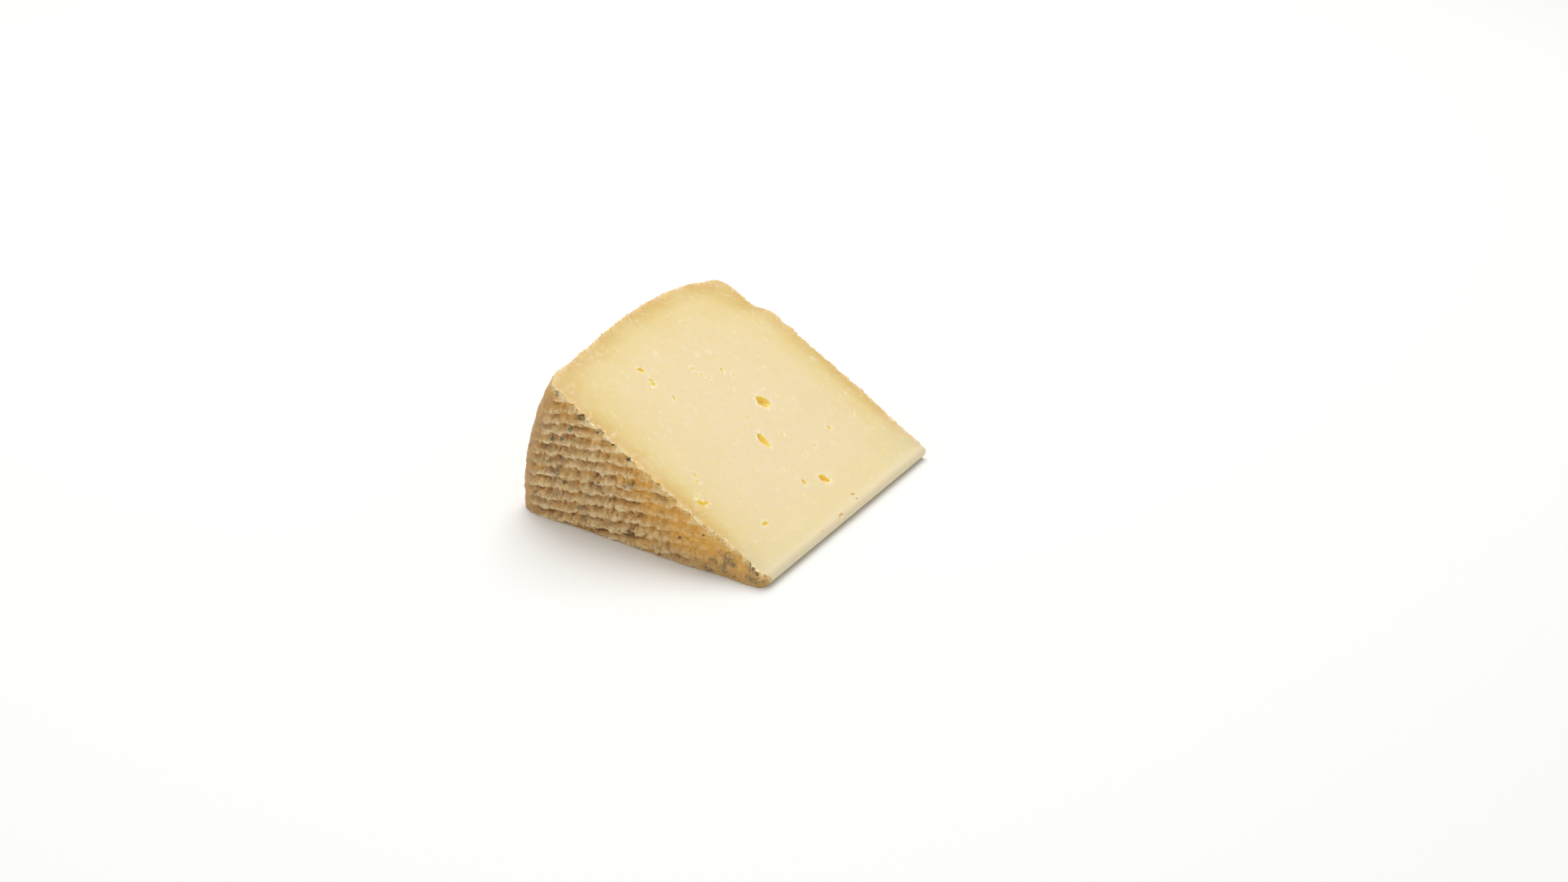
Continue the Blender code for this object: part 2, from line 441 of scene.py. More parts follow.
@dataclass(frozen=True)
class MouldRidges:
    """The parallel ridges, crossed by slanting teeth, that the mould's board prints in the rind."""

    top: float = 55.5
    pitch: float = 4.05
    turn: float = math.radians(8.1)
    depth: float = 1.12
    crest_at: float = 0.60
    crest_end: float = 0.71
    fall: float = 0.28
    tooth_pitch: float = 1.6
    tooth_slant: float = 0.42
    tooth_depth: float = 0.55
    block_length: float = 4.4
    smooth_ridges: float = 3.6
    fade_inner: float = 8.0
    fade_outer: float = 58.0
    margin_inner: float = 89.0
    margin_outer: float = 94.5
    grain: Grain = Grain(23)

    def _across(self, points: np.ndarray, radius: np.ndarray) -> tuple[np.ndarray, np.ndarray]:
        """Return how far across and along the ridges points lie, bent a little as in the rind.

        Args:
            points: Places, one to a row, in millimetres.
            radius: How far each lies from the wheel's axis.

        Returns:
            The distances across and along the ridges.
        """
        across = points[:, 2] * math.cos(self.turn) - points[:, 0] * math.sin(self.turn)
        along = -points[:, 0] * math.cos(self.turn) - points[:, 2] * math.sin(self.turn)
        flat = points * FLATTEN
        bend = self.grain.at(flat, 19.0) * 0.42 + self.grain.at(flat + 30.0, 6.5) * 0.24
        arch = 0.9 * smooth_step(radius, 80.0, 92.0) * smooth_step(across, 36.0, 46.0)
        return across + bend + arch, along

    def strength(self, radius: np.ndarray) -> np.ndarray:
        """Return how strongly the ridges show, from 0 to 1, at distances from the axis.

        Args:
            radius: The distances.

        Returns:
            The strength at each.
        """
        inner = 0.12 + 0.88 * smooth_step(radius, self.fade_inner, self.fade_outer)
        outer = 1.0 - 0.90 * smooth_step(radius, self.margin_inner, self.margin_outer)
        return inner * outer

    def read(self, points: np.ndarray, radius: np.ndarray) -> dict[str, np.ndarray]:
        """Work out the relief.

        Args:
            points: Places on the flat face.
            radius: How far each lies from the wheel's axis.

        Returns:
            height, from the groove's floor up to 0; crest, from 0 in a groove to 1; lip, 1 on a
            ridge's ragged lower edge; valley, 1 deep between two teeth; and knob, from below 0
            in a pit to above 0 on a lump.
        """
        across, along = self._across(points, radius)
        flat = points * FLATTEN
        phase = (self.top - across) / self.pitch
        part = phase - np.floor(phase)
        strand, toothed = self._teeth(flat, across, along, phase, radius)
        block = self._blocks(flat, along, phase) * smooth_step(phase, 2.0, 5.0)
        ragged = self.grain.layered(flat + 140.0, 2.2, 4) * 0.38 + block * 0.05
        fall_start = self.crest_end + ragged + 0.10 * (strand - 0.8) * toothed
        fall = 1.0 - smooth_step(part, fall_start, fall_start + self.fall)
        crest = smooth_step(part, -0.06, self.crest_at) * fall
        uneven = 0.84 + 0.45 * self.grain.layered(flat + 170.0, 5.5, 2) - 0.10 * block
        fade = self.strength(radius)
        groove = -self.depth * (1.0 - crest) * uneven
        valley = (1.0 - strand) * (0.3 + 0.7 * crest) * toothed
        slanted = along + across * self.tooth_slant
        skewed = np.stack([slanted / 2.0, np.zeros_like(along), across / 2.4], axis=1)
        knob = self._lumps(skewed + 260.0, 1.0) * 0.55 + self._lumps(flat + 200.0, 1.6) * 0.50
        knob = knob + self.grain.at(flat + 280.0, 0.8) * 0.20
        crag = 0.5 - np.abs(self.grain.layered(flat + 215.0, 4.2, 3))
        swell = self.grain.at(flat + 230.0, 16.0) * 0.22
        rough = (knob * 0.54 + crag * 0.36) * (0.8 + 0.2 * fade) * smooth_step(phase, -2.5, 4.5)
        rough = rough + self.grain.layered(flat + 200.0, 1.3, 3) * 0.15
        height = (groove - self.tooth_depth * valley) * fade + rough + swell * fade - 0.1
        lip = np.exp(-(((part - fall_start + 0.03) / 0.11) ** 2)) * (1.0 - 0.7 * valley)
        knob = knob + block * 0.10
        return {"height": height, "crest": crest, "lip": lip, "valley": valley, "knob": knob}

    def _lumps(self, points: np.ndarray, size: float) -> np.ndarray:
        """Return round lumps with sharp creases between them, from about -0.55 to 1."""
        return 2.0 * np.abs(self.grain.at(points, size)) - 0.55

    def _blocks(self, flat: np.ndarray, along: np.ndarray, phase: np.ndarray) -> np.ndarray:
        """Return a number from -1 to 1 for the lump of its ridge that each place belongs to.

        Args:
            flat: Places on the flat face.
            along: How far along the ridges they lie.
            phase: Which ridge they are on, counted from the top one.

        Returns:
            The number of each place's lump.
        """
        ridge = np.floor(phase)
        shift = 5.0 * np.sin(ridge * 7.13 + self.grain.seed)
        lump = np.floor(along / self.block_length + shift + self.grain.at(flat + 300.0, 6.0) * 0.8)
        return np.sin(lump * 78.233 + ridge * 12.9898)

    def _teeth(
        self,
        flat: np.ndarray,
        across: np.ndarray,
        along: np.ndarray,
        phase: np.ndarray,
        radius: np.ndarray,
    ) -> tuple[np.ndarray, np.ndarray]:
        """Work out the slanting teeth.

        Args:
            flat: Places on the flat face.
            across: How far across the ridges they lie.
            along: How far along the ridges they lie.
            phase: Which ridge they are on, counted from the top one.
            radius: How far each lies from the wheel's axis.

        Returns:
            The strands, 1 on a tooth and 0 between two, and how much the teeth show.
        """
        shift = 0.5 + 0.5 * np.sin(np.floor(phase) * 12.9898 + self.grain.seed)
        jitter = self.grain.at(flat + 70.0, 4.2) * 0.85 + self.grain.at(flat + 75.0, 1.6) * 0.30
        slanted = along + across * self.tooth_slant
        wave = np.cos(2.0 * math.pi * (slanted / self.tooth_pitch + shift + jitter))
        skewed = np.stack([slanted / 1.05, np.zeros_like(across), across / 3.2], axis=1)
        fibre = self.grain.layered(skewed + 90.0, 1.0, 2)
        strand = np.clip(0.85 + 0.38 * wave + 0.90 * fibre, 0.0, 1.0)
        toothed = smooth_step(phase, self.smooth_ridges - 1.4, self.smooth_ridges + 1.2)
        toothed = np.maximum(toothed, 0.85 * smooth_step(radius, 78.0, 62.0))
        toothed = toothed * (0.15 + 0.85 * smooth_step(radius, 26.0, 46.0))
        patch = smooth_step(self.grain.layered(flat + 110.0, 6.0, 2), -0.05, 0.35)
        return strand, toothed * (0.08 + 0.62 * patch)


@dataclass(frozen=True)
class Opening:
    """One opening in the paste, placed on the upper cut."""

    slope: float
    along: float
    length: float
    width: float
    turn: float = 0.0
    bend: float = 0.0


class UnitBall:
    """A ball of even triangles that blobs are shaped from."""

    def __init__(self, levels: int) -> None:
        """Make the ball's points and triangles once.

        Args:
            levels: How often the triangles are split.
        """
        shape = bmesh.new()
        bmesh.ops.create_icosphere(shape, subdivisions=levels, radius=1.0)
        self.points, self.faces = read_shape(shape)


@dataclass
class Blobs:
    """Irregular closed lumps, joined in one mesh, that openings and chips are cut with."""

    name: str
    skin: Skin
    grain: Grain
    points: list[np.ndarray] = field(default_factory=list)
    faces: Faces = field(default_factory=list)
    count: int = 0

    def add(
        self,
        ball: UnitBall,
        centre: np.ndarray,
        axes: np.ndarray,
        size: Sequence[float],
        rough: float = 0.25,
        bend: float = 0.0,
    ) -> None:
        """Add one lump.

        Args:
            ball: The ball it starts as.
            centre: Where it goes.
            axes: Its long, wide and deep directions, one to a row.
            size: Its length, width and depth.
            rough: How uneven it is, as a share of its size.
            bend: How far its middle bows aside, as a share of half its width.
        """
        seed = 37.1 * len(self.points)
        waves = self.grain.at(ball.points + seed, 0.85) + 0.5 * self.grain.at(ball.points - seed, 0.4)
        lump = ball.points * (1.0 + rough * waves)[:, None]
        lump[:, 1] += bend * (1.0 - lump[:, 0] ** 2)
        lump = (lump * np.array(size) / 2.0) @ axes + centre
        self.points.append(lump)
        self.faces += [tuple(index + self.count for index in face) for face in ball.faces]
        self.count += len(lump)


@dataclass(frozen=True)
class WheelSlice:
    """A slice of the wheel, a little thicker than the wedge, with the mould's relief in its rind."""

    wheel: Wheel
    cuts: KnifeCuts
    ridges: MouldRidges
    back_ridges: MouldRidges
    columns: int = 160
    near_spacing: float = 0.36
    side_spacing: float = 1.4
    far_spacing: float = 0.85
    fan_x: float = 16.1
    fan_z: float = -2.0
    nose: float = 12.0
    tip_lean: float = 1.2
    back_shift: tuple[float, float, float] = (3.0, 0.0, 1.9)
    grain: Grain = Grain(5)

    def near_relief(self, points: np.ndarray) -> np.ndarray:
        """Return how far the relief stands out of the near flat face.

        Args:
            points: Places, one to a row, in millimetres.

        Returns:
            The height at each.
        """
        radius = self.wheel.radius_of(points)
        slope = self.cuts.slope_of(points)
        under = self.cuts.under_upper(points)
        lean = smooth_step(slope, 2.0, 8.0) * smooth_step(slope, 27.0, 18.0)
        lean = lean * smooth_step(under, 5.0, 0.0) * self.tip_lean
        return self.ridges.read(points, radius)["height"] - lean

    def read_back(self, points: np.ndarray) -> dict[str, np.ndarray]:
        """Work out the far face's ridges, shifted so that they aren't a copy of the near ones."""
        return self.back_ridges.read(points + np.array(self.back_shift), self.wheel.radius_of(points))

    def far_relief(self, points: np.ndarray) -> np.ndarray:
        """Return how far the relief stands out of the far flat face."""
        return self.read_back(points)["height"]

    def side_relief(self, points: np.ndarray) -> np.ndarray:
        """Return how far the relief stands out of the wheel's side.

        Args:
            points: Places, one to a row, in millimetres.

        Returns:
            The height at each.
        """
        broad = self.grain.layered(points, 11.0, 2) * 0.40
        fine = self.grain.layered(points + 80.0, 1.5, 2) * 0.12
        return broad + self.side_knob(points) * 0.42 + fine - 0.15

    def side_knob(self, points: np.ndarray) -> np.ndarray:
        """Return the small lumps of the wheel's side, from below 0 in a pit to above 0."""
        lumps = np.abs(self.grain.at(points + 40.0, 5.0)) + np.abs(self.grain.at(points + 60.0, 2.9))
        return lumps - 0.5 + self.grain.at(points + 30.0, 1.7) * 0.3

    def _rows(self) -> Iterable[tuple[np.ndarray, np.ndarray, np.ndarray]]:
        """Give each row's points, their outward directions and the near, side and far shares.

        Returns:
            The three for each row, from the tip's near face round to its far one.
        """
        wheel = self.wheel
        turns = np.linspace(0.0, self.cuts.angle, self.columns + 1)
        way = np.stack([-np.cos(turns), np.zeros_like(turns), np.sin(turns)], axis=1)
        start = np.array([self.fan_x, 0.0, self.fan_z])
        offset = start - wheel.centre
        toward = way @ offset

        def reach_of(radius: float) -> np.ndarray:
            """Return how far from the start each column meets a radius."""
            return -toward + np.sqrt(toward**2 - offset @ offset + radius**2)

        def cap_row(rim: float, share: float) -> np.ndarray:
            """Return a row of a flat face, some share of the way to its rim."""
            return start + way * (self.nose + (reach_of(rim) - self.nose) * share)[:, None]

        length = wheel.near_rim() + self.fan_x - self.nose
        for share in np.linspace(0.0, 1.0, int(length / self.near_spacing)):
            points = cap_row(wheel.near_rim(), share)
            points[:, 1] = wheel.near_face(wheel.radius_of(points))
            yield points, np.tile(-ALONG, (len(points), 1)), np.array([1.0, 0.0, 0.0])
        for radius, along, out_radius, out_along in wheel.side_profile(self.side_spacing):
            points = start + way * reach_of(radius)[:, None]
            outward = (points - wheel.centre) / radius * out_radius
            outward[:, 1] = out_along
            points[:, 1] = along
            near = 1.0 - smooth_step(np.array([along]), 0.0, wheel.near_corner)[0]
            far_start = wheel.height - wheel.rim_step - wheel.far_corner
            far = smooth_step(np.array([along]), far_start, wheel.height - 5.0)[0]
            yield points, outward, np.array([near, 1.0 - near - far, far])
        for share in np.linspace(1.0, 0.0, int(length / self.far_spacing))[1:]:
            points = cap_row(wheel.far_rim(), share)
            points[:, 1] = wheel.far_face(wheel.radius_of(points))
            yield points, np.tile(ALONG, (len(points), 1)), UP

    def build(self) -> tuple[np.ndarray, Faces]:
        """Return the slice's vertices and faces.

        Returns:
            The points, and the points of each face.
        """
        rows = list(self._rows())
        points = np.concatenate([row[0] for row in rows])
        outward = np.concatenate([row[1] for row in rows])
        wide = self.columns + 1
        shares = np.repeat(np.array([row[2] for row in rows]), wide, axis=0)
        relief = shares[:, 0] * self.near_relief(points)
        relief += shares[:, 1] * self.side_relief(points)
        relief += shares[:, 2] * self.far_relief(points)
        inside = np.minimum(points[:, 2] - self.fan_z, self.cuts.under_upper(points) + 2.0)
        relief = relief * smooth_step(inside, 0.1, 1.1)
        points = points + outward * relief[:, None]
        faces = grid_faces(len(rows), wide)
        last = (len(rows) - 1) * wide
        for column in range(self.columns):
            faces.append((last + column, last + column + 1, column + 1, column))
        faces.append(tuple(row * wide for row in range(len(rows))))
        faces.append(tuple(row * wide + self.columns for row in reversed(range(len(rows)))))
        return points, faces


class Carving:
    """A closed mesh that is cut step by step, with its faces keeping what skin they are."""

    def __init__(self, name: str, points: np.ndarray, faces: Sequence[Sequence[int]], skin: Skin) -> None:
        """Make the object.

        Args:
            name: The object's name.
            points: Its vertices, in millimetres.
            faces: The vertices of each face.
            skin: What its faces are.
        """
        mesh = bpy.data.meshes.new(name)
        mesh.from_pydata(points.tolist(), [], faces)
        shape = bmesh.new()
        shape.from_mesh(mesh)
        bmesh.ops.recalc_face_normals(shape, faces=shape.faces)
        shape.to_mesh(mesh)
        shape.free()
        self.object = add_object(name, mesh)
        for place in Skin:
            mesh.materials.append(skin_blank(place))
        mesh.polygons.foreach_set("material_index", np.full(len(mesh.polygons), skin.value, dtype=np.int32))

    def cut(self, operation: str, tool: "Carving") -> None:
        """Cut this mesh with another, which is used up.

        Args:
            operation: INTERSECT or DIFFERENCE.
            tool: The mesh to cut with.
        """
        modifier = self.object.modifiers.new("cut", "BOOLEAN")
        modifier.operation = operation
        modifier.solver = "MANIFOLD"
        modifier.object = tool.object
        graph = bpy.context.evaluated_depsgraph_get()
        mesh = bpy.data.meshes.new_from_object(self.object.evaluated_get(graph))
        self.object.modifiers.clear()
        spent = [self.object.data, tool.object.data]
        self.object.data = mesh
        bpy.data.objects.remove(tool.object)
        for data in spent:
            bpy.data.meshes.remove(data)
        LOG.info("%s %s: %d faces", operation.lower(), self.object.name, len(mesh.polygons))


def skin_blank(skin: Skin) -> bpy.types.Material:
    """Return the empty material that marks a skin until it is dressed."""
    name = f"blank_{skin.name.lower()}"
    return bpy.data.materials.get(name) or bpy.data.materials.new(name)


class Mould(Enum):
    """The colours of the mould's spots in the rind. The value is the attribute's name."""

    TEAL = "teal"
    OLIVE = "olive"
    GREY = "grey"
    BLACK = "black"


@dataclass(frozen=True)
class Mark:
    """One spot of mould on the near flat face."""

    x: float
    z: float
    size: float
    mould: Mould
    stretch: float = 1.0
    turn: float = 8.0


MARKS: tuple[Mark, ...] = (
    Mark(-72.9, 36.1, 1.9, Mould.TEAL),
    Mark(-80.5, 30.6, 2.1, Mould.TEAL),
    Mark(-76.6, 31.8, 1.2, Mould.TEAL),
    Mark(-77.7, 47.7, 1.7, Mould.TEAL),
    Mark(-80.1, 19.0, 2.6, Mould.OLIVE, 1.4, -5.0),
    Mark(-62.3, 18.0, 1.9, Mould.OLIVE, 1.2),
    Mark(-61.6, 19.7, 1.0, Mould.BLACK, 2.0, -30.0),
    Mark(-82.4, 22.3, 1.2, Mould.OLIVE, 2.4),
    Mark(-89.4, 8.4, 1.5, Mould.OLIVE, 1.3),
    Mark(-76.5, 16.0, 1.0, Mould.OLIVE, 2.0),
    Mark(-71.0, 7.8, 1.2, Mould.OLIVE, 2.6),
    Mark(-83.5, 10.0, 1.0, Mould.OLIVE, 2.4),
    Mark(-49.7, 22.9, 1.8, Mould.GREY, 2.0),
    Mark(-48.4, 23.9, 1.0, Mould.BLACK, 1.8),
    Mark(-51.5, 21.6, 1.0, Mould.OLIVE, 2.2),
    Mark(-67.6, 42.4, 1.1, Mould.BLACK, 3.6, 10.0),
    Mark(-68.3, 41.2, 1.0, Mould.OLIVE, 2.6, 10.0),
    Mark(-66.4, 38.4, 1.1, Mould.OLIVE, 2.4, 10.0),
    Mark(-61.0, 38.7, 1.3, Mould.BLACK, 2.0, 18.0),
    Mark(-63.3, 38.1, 1.0, Mould.OLIVE, 1.6, 20.0),
    Mark(-55.9, 35.8, 1.0, Mould.BLACK, 1.7, -35.0),
    Mark(-58.4, 28.6, 1.0, Mould.BLACK),
    Mark(-58.1, 30.6, 0.8, Mould.OLIVE, 1.6, 80.0),
    Mark(-67.3, 33.0, 1.2, Mould.OLIVE, 2.2),
    Mark(-49.8, 32.0, 0.9, Mould.BLACK, 2.4, -20.0),
    Mark(-37.6, 24.8, 0.7, Mould.BLACK),
    Mark(-37.0, 21.8, 1.0, Mould.GREY, 3.4, -4.0),
    Mark(-21.4, 13.0, 0.6, Mould.BLACK, 1.2, 70.0),
    Mark(-30.5, 9.3, 0.8, Mould.BLACK, 1.5, 20.0),
    Mark(-27.7, 10.3, 0.6, Mould.OLIVE, 2.0),
    Mark(-25.5, 9.5, 0.7, Mould.OLIVE, 1.3),
    Mark(-20.9, 1.6, 0.7, Mould.BLACK, 1.4),
    Mark(-51.6, 4.3, 2.7, Mould.OLIVE),
    Mark(-52.3, 3.9, 1.5, Mould.BLACK),
    Mark(-50.6, 5.6, 1.0, Mould.BLACK, 1.6, -50.0),
    Mark(-18.3, 4.8, 2.8, Mould.GREY),
    Mark(-19.4, 4.4, 0.8, Mould.OLIVE, 1.7, 70.0),
    Mark(-14.2, 2.6, 3.0, Mould.GREY, 1.2),
    Mark(-12.3, 6.3, 3.8, Mould.GREY, 1.3, -20.0),
    Mark(-13.9, 7.6, 1.4, Mould.GREY, 3.2, -23.0),
    Mark(-11.4, 5.4, 0.8, Mould.OLIVE, 2.6, -20.0),
    Mark(-19.7, 1.0, 1.5, Mould.GREY, 1.7),
    Mark(-11.0, 1.2, 0.8, Mould.OLIVE, 1.6, 25.0),
    Mark(-3.9, 5.4, 2.3, Mould.GREY, 1.8, -35.0),
    Mark(-3.2, 2.2, 2.2, Mould.GREY, 2.4, -6.0),
    Mark(-5.7, 2.6, 0.7, Mould.OLIVE, 1.6, -30.0),
    Mark(-4.6, 6.5, 0.55, Mould.BLACK, 4.0, -29.0),
    Mark(-1.6, 4.0, 0.6, Mould.BLACK, 3.4, -54.0),
)

OPENINGS: tuple[Opening, ...] = (
    Opening(49.5, 64.3, 5.3, 4.2, 8.0, 0.1),
    Opening(38.4, 49.7, 4.7, 3.0, -14.0, 0.3),
    Opening(15.0, 55.4, 3.8, 3.1, 22.0),
    Opening(33.3, 7.3, 3.5, 2.0, 31.0, 0.3),
    Opening(35.6, 7.4, 0.8, 0.7),
    Opening(15.1, 19.7, 2.5, 1.7, 88.0),
    Opening(18.2, 47.4, 2.8, 1.3, -11.0),
    Opening(76.0, 33.4, 2.3, 1.8, -10.0, 0.2),
    Opening(82.4, 34.4, 2.6, 1.8, 30.0),
    Opening(75.0, 30.5, 1.1, 0.7),
    Opening(68.0, 35.2, 2.6, 0.7, -28.0),
    Opening(73.3, 52.4, 1.5, 0.9),
    Opening(67.0, 54.9, 1.0, 0.7),
    Opening(69.4, 53.6, 1.4, 0.8, 40.0),
    Opening(66.8, 62.1, 2.8, 0.8, -25.0, 0.5),
    Opening(62.9, 64.0, 1.4, 0.7, -40.0),
    Opening(58.1, 59.4, 1.0, 0.6),
    Opening(47.5, 53.1, 1.1, 0.6, 30.0),
    Opening(45.9, 45.7, 1.3, 0.5, -20.0),
    Opening(48.9, 70.7, 1.8, 0.5, 35.0),
    Opening(36.2, 58.8, 1.3, 0.7, 20.0),
    Opening(28.0, 77.4, 2.3, 1.1, 20.0),
    Opening(34.6, 92.0, 1.2, 0.6),
    Opening(32.0, 85.2, 1.0, 0.6),
    Opening(26.6, 91.5, 1.1, 0.6, 50.0),
    Opening(25.9, 65.5, 1.1, 0.7),
    Opening(22.1, 72.4, 1.2, 0.6, 10.0),
    Opening(25.0, 57.9, 1.0, 0.8),
    Opening(23.1, 52.7, 0.9, 0.6),
    Opening(25.1, 46.2, 1.1, 0.7, 30.0),
    Opening(31.9, 37.0, 1.2, 0.6, -20.0),
    Opening(29.5, 24.4, 1.4, 0.6, 15.0),
    Opening(41.9, 14.5, 2.3, 0.7, 14.0),
    Opening(39.5, 13.2, 1.7, 0.6, 10.0),
    Opening(57.3, 28.8, 0.9, 0.6),
    Opening(85.8, 55.9, 0.9, 0.6),
    Opening(12.4, 34.6, 1.0, 0.6),
    Opening(14.0, 43.2, 1.1, 0.6),
)

NOTCHES: tuple[Opening, ...] = (
    Opening(1.5, 47.5, 2.4, 1.5, 84.0),
    Opening(4.6, 59.3, 1.9, 0.9, 70.0),
    Opening(2.6, 58.9, 1.4, 0.6, 80.0),
    Opening(0.5, 62.5, 1.7, 0.8, 90.0),
    Opening(1.2, 35.5, 1.2, 0.7, 70.0),
)

LOWER_OPENINGS: tuple[Opening, ...] = (
    Opening(61.0, 38.0, 3.8, 2.6, 20.0, 0.2),
    Opening(33.0, 66.0, 3.2, 2.2, -30.0),
    Opening(46.0, 22.0, 2.4, 1.5, 50.0),
    Opening(72.0, 71.0, 2.0, 1.2, -10.0),
    Opening(20.0, 40.0, 1.8, 1.1, 35.0),
    Opening(52.0, 84.0, 1.3, 0.8),
    Opening(66.0, 55.0, 1.2, 0.7, 60.0),
    Opening(39.0, 48.0, 1.1, 0.7),
    Opening(27.0, 83.0, 1.2, 0.7, -20.0),
    Opening(78.0, 30.0, 1.1, 0.7),
)

OPENING_PARTS: tuple[Opening, ...] = (
    Opening(47.8, 64.6, 2.6, 3.4, 10.0),
    Opening(36.0, 49.2, 2.6, 1.7, -10.0),
    Opening(32.2, 8.4, 1.8, 1.7, 60.0),
    Opening(13.8, 56.1, 2.3, 2.4, 30.0),
    Opening(77.5, 34.0, 2.0, 1.0, -15.0),
)


@dataclass
class CheeseWedge:
    """The wedge itself: the wheel's slice, cut by the knife, with its openings and torn rims."""

    wheel: Wheel = Wheel()
    cuts: KnifeCuts = KnifeCuts()
    ridges: MouldRidges = MouldRidges()
    back_ridges: MouldRidges = MouldRidges(
        depth=1.0, tooth_pitch=2.6, tooth_depth=0.22, margin_inner=69.0, margin_outer=80.0, grain=Grain(61)
    )
    chip_grain: Grain = Grain(71)
    mould_grain: Grain = Grain(83)
    near_bite: tuple[float, float] = (2.3, 2.0)
    far_bite: tuple[float, float] = (2.0, 1.2)
    side_bite: tuple[float, float] = (2.0, 1.3)
    side_bite_step: float = 2.3
    corner_chamfer: float = 2.3
    opening_depth: float = 0.40
    large_opening: float = 2.5
    face_blend: float = 8.0
    seed: int = 4

    @property
    def slice(self) -> WheelSlice:
        """Return the slice that the wedge is cut from."""
        return WheelSlice(self.wheel, self.cuts, self.ridges, self.back_ridges)

    def rim_place(self, radius: float, along: float, under: float = 0.0) -> np.ndarray:
        """Return the place on the wheel's surface that lies under the upper cut.

        Args:
            radius: How far from the wheel's axis.
            along: Where along the axis.
            under: How deep under the upper cut.

        Returns:
            The place, before any relief.
        """
        height = self.cuts.offset - under - self.wheel.axis_z * self.cuts.out[2]
        level = self.wheel.axis_z * self.cuts.up_slope[2]
        slope = level + math.sqrt(radius**2 - height**2)
        return self.cuts.on_upper(slope, along, -under)

    def near_rim_place(self, slope: float, under: float = 0.0) -> np.ndarray:
        """Return the place on the near face's relief, by the upper cut.

        Args:
            slope: How far up the upper cut.
            under: How deep under it.

        Returns:
            The place.
        """
        place = self.cuts.on_upper(slope, 0.0, -under)
        radius = self.wheel.radius_of(place[None, :])
        place[1] = self.wheel.near_face(radius)[0] - self.slice.near_relief(place[None, :])[0]
        return place

    def far_rim_place(self, slope: float, under: float = 0.0) -> np.ndarray:
        """Return the place on the far face's relief, by the upper cut.

        Args:
            slope: How far up the upper cut.
            under: How deep under it.

        Returns:
            The place.
        """
        place = self.cuts.on_upper(slope, 0.0, -under)
        radius = self.wheel.radius_of(place[None, :])
        place[1] = self.wheel.far_face(radius)[0] + self.slice.far_relief(place[None, :])[0]
        return place

    def _opening_blobs(
        self, openings: Sequence[Opening], name: str, skin: Skin = Skin.OPENING, lower: bool = False
    ) -> Blobs:
        """Return the hollows of a set of openings.

        Args:
            openings: Where they lie on their cut.
            name: The mesh's name.
            skin: What the hollows' faces are.
            lower: Whether they lie on the lower cut.

        Returns:
            The hollows, each with its centre just under the cut.
        """
        fine = UnitBall(4)
        plain = UnitBall(3)
        blobs = Blobs(name, skin, Grain(31))
        up_slope = np.array([-1.0, 0.0, 0.0]) if lower else self.cuts.up_slope
        out = -UP if lower else self.cuts.out
        base = 0.0 if lower else self.cuts.offset
        for opening in openings:
            turn = math.radians(opening.turn)
            long = math.cos(turn) * up_slope - math.sin(turn) * ALONG
            wide = -math.cos(turn) * ALONG - math.sin(turn) * up_slope
            depth = (opening.length + opening.width) * self.opening_depth
            centre = out * (base - 0.12 * depth) + up_slope * opening.slope + ALONG * opening.along
            ball = fine if opening.length > self.large_opening else plain
            size = (opening.length, opening.width, depth)
            blobs.add(ball, centre, np.array([long, wide, out]), size, 0.22, opening.bend)
        return blobs

    def _chip_blobs(self) -> list[Blobs]:
        """Return the shallow bites along the rims, in two sets whose members stay apart.

        Returns:
            The two sets, cut one after the other.
        """
        draw = np.random.default_rng(self.seed)
        sets = [Blobs(f"chips_{part}", Skin.TORN, self.chip_grain) for part in range(2)]
        near_slopes = np.arange(3.0, 89.0, self.near_bite[0])
        far_slopes = np.arange(4.0, 86.0, self.far_bite[0])
        rims = [(self.near_rim_place(slope), -ALONG, self.near_bite) for slope in near_slopes]
        rims += [(self.far_rim_place(slope), ALONG, self.far_bite) for slope in far_slopes]
        for radius, along, out_radius, out_along in self.wheel.side_profile(self.side_bite_step)[2:]:
            place = self.rim_place(radius, along)
            outward = (place - self.wheel.centre) / radius * out_radius
            outward[1] = out_along
            rims.append((place, outward, self.side_bite))
        ball = UnitBall(3)
        for number, (place, face_out, (length, thickness)) in enumerate(rims):
            out = self.cuts.out + face_out
            out = out / np.linalg.norm(out)
            long = np.cross(self.cuts.out, face_out)
            long = long / np.linalg.norm(long)
            thick = thickness * draw.uniform(0.6, 1.25)
            centre = place + out * thick * draw.uniform(0.20, 0.45) + long * draw.uniform(-0.3, 0.3)
            axes = np.array([long, np.cross(out, long), out])
            size = (length * draw.uniform(0.7, 1.45), thick, thick)
            sets[number % 2].add(ball, centre, axes, size, 0.35)
        return sets

    def _chamfer_block(self) -> tuple[np.ndarray, Faces]:
        """Return the block that takes the corner off the near end of the thin edge.

        Returns:
            The points, and the points of each face.
        """
        shape = bmesh.new()
        bmesh.ops.create_cube(shape, size=1.0)
        bmesh.ops.subdivide_edges(shape, edges=shape.edges, cuts=11, use_grid_fill=True)
        points, faces = read_shape(shape)
        size = self.corner_chamfer * 6.0
        turn = math.radians(45.0)
        outward = np.array([math.cos(turn), -math.sin(turn), 0.0])
        aside = np.array([math.sin(turn), math.cos(turn), 0.0])
        points = points * size
        points = points[:, :1] * outward + points[:, 1:2] * aside + points[:, 2:] * UP
        edge_x, edge_radius = self.cuts.edge_x, self.cuts.edge_radius
        corner = np.array([edge_x + edge_radius, self.wheel.centre_dish, edge_radius])
        points = points + corner + outward * (size / 2 - self.corner_chamfer)
        wave = self.chip_grain.layered(points, 2.2, 2) * 0.45
        return points + wave[:, None] * outward, faces

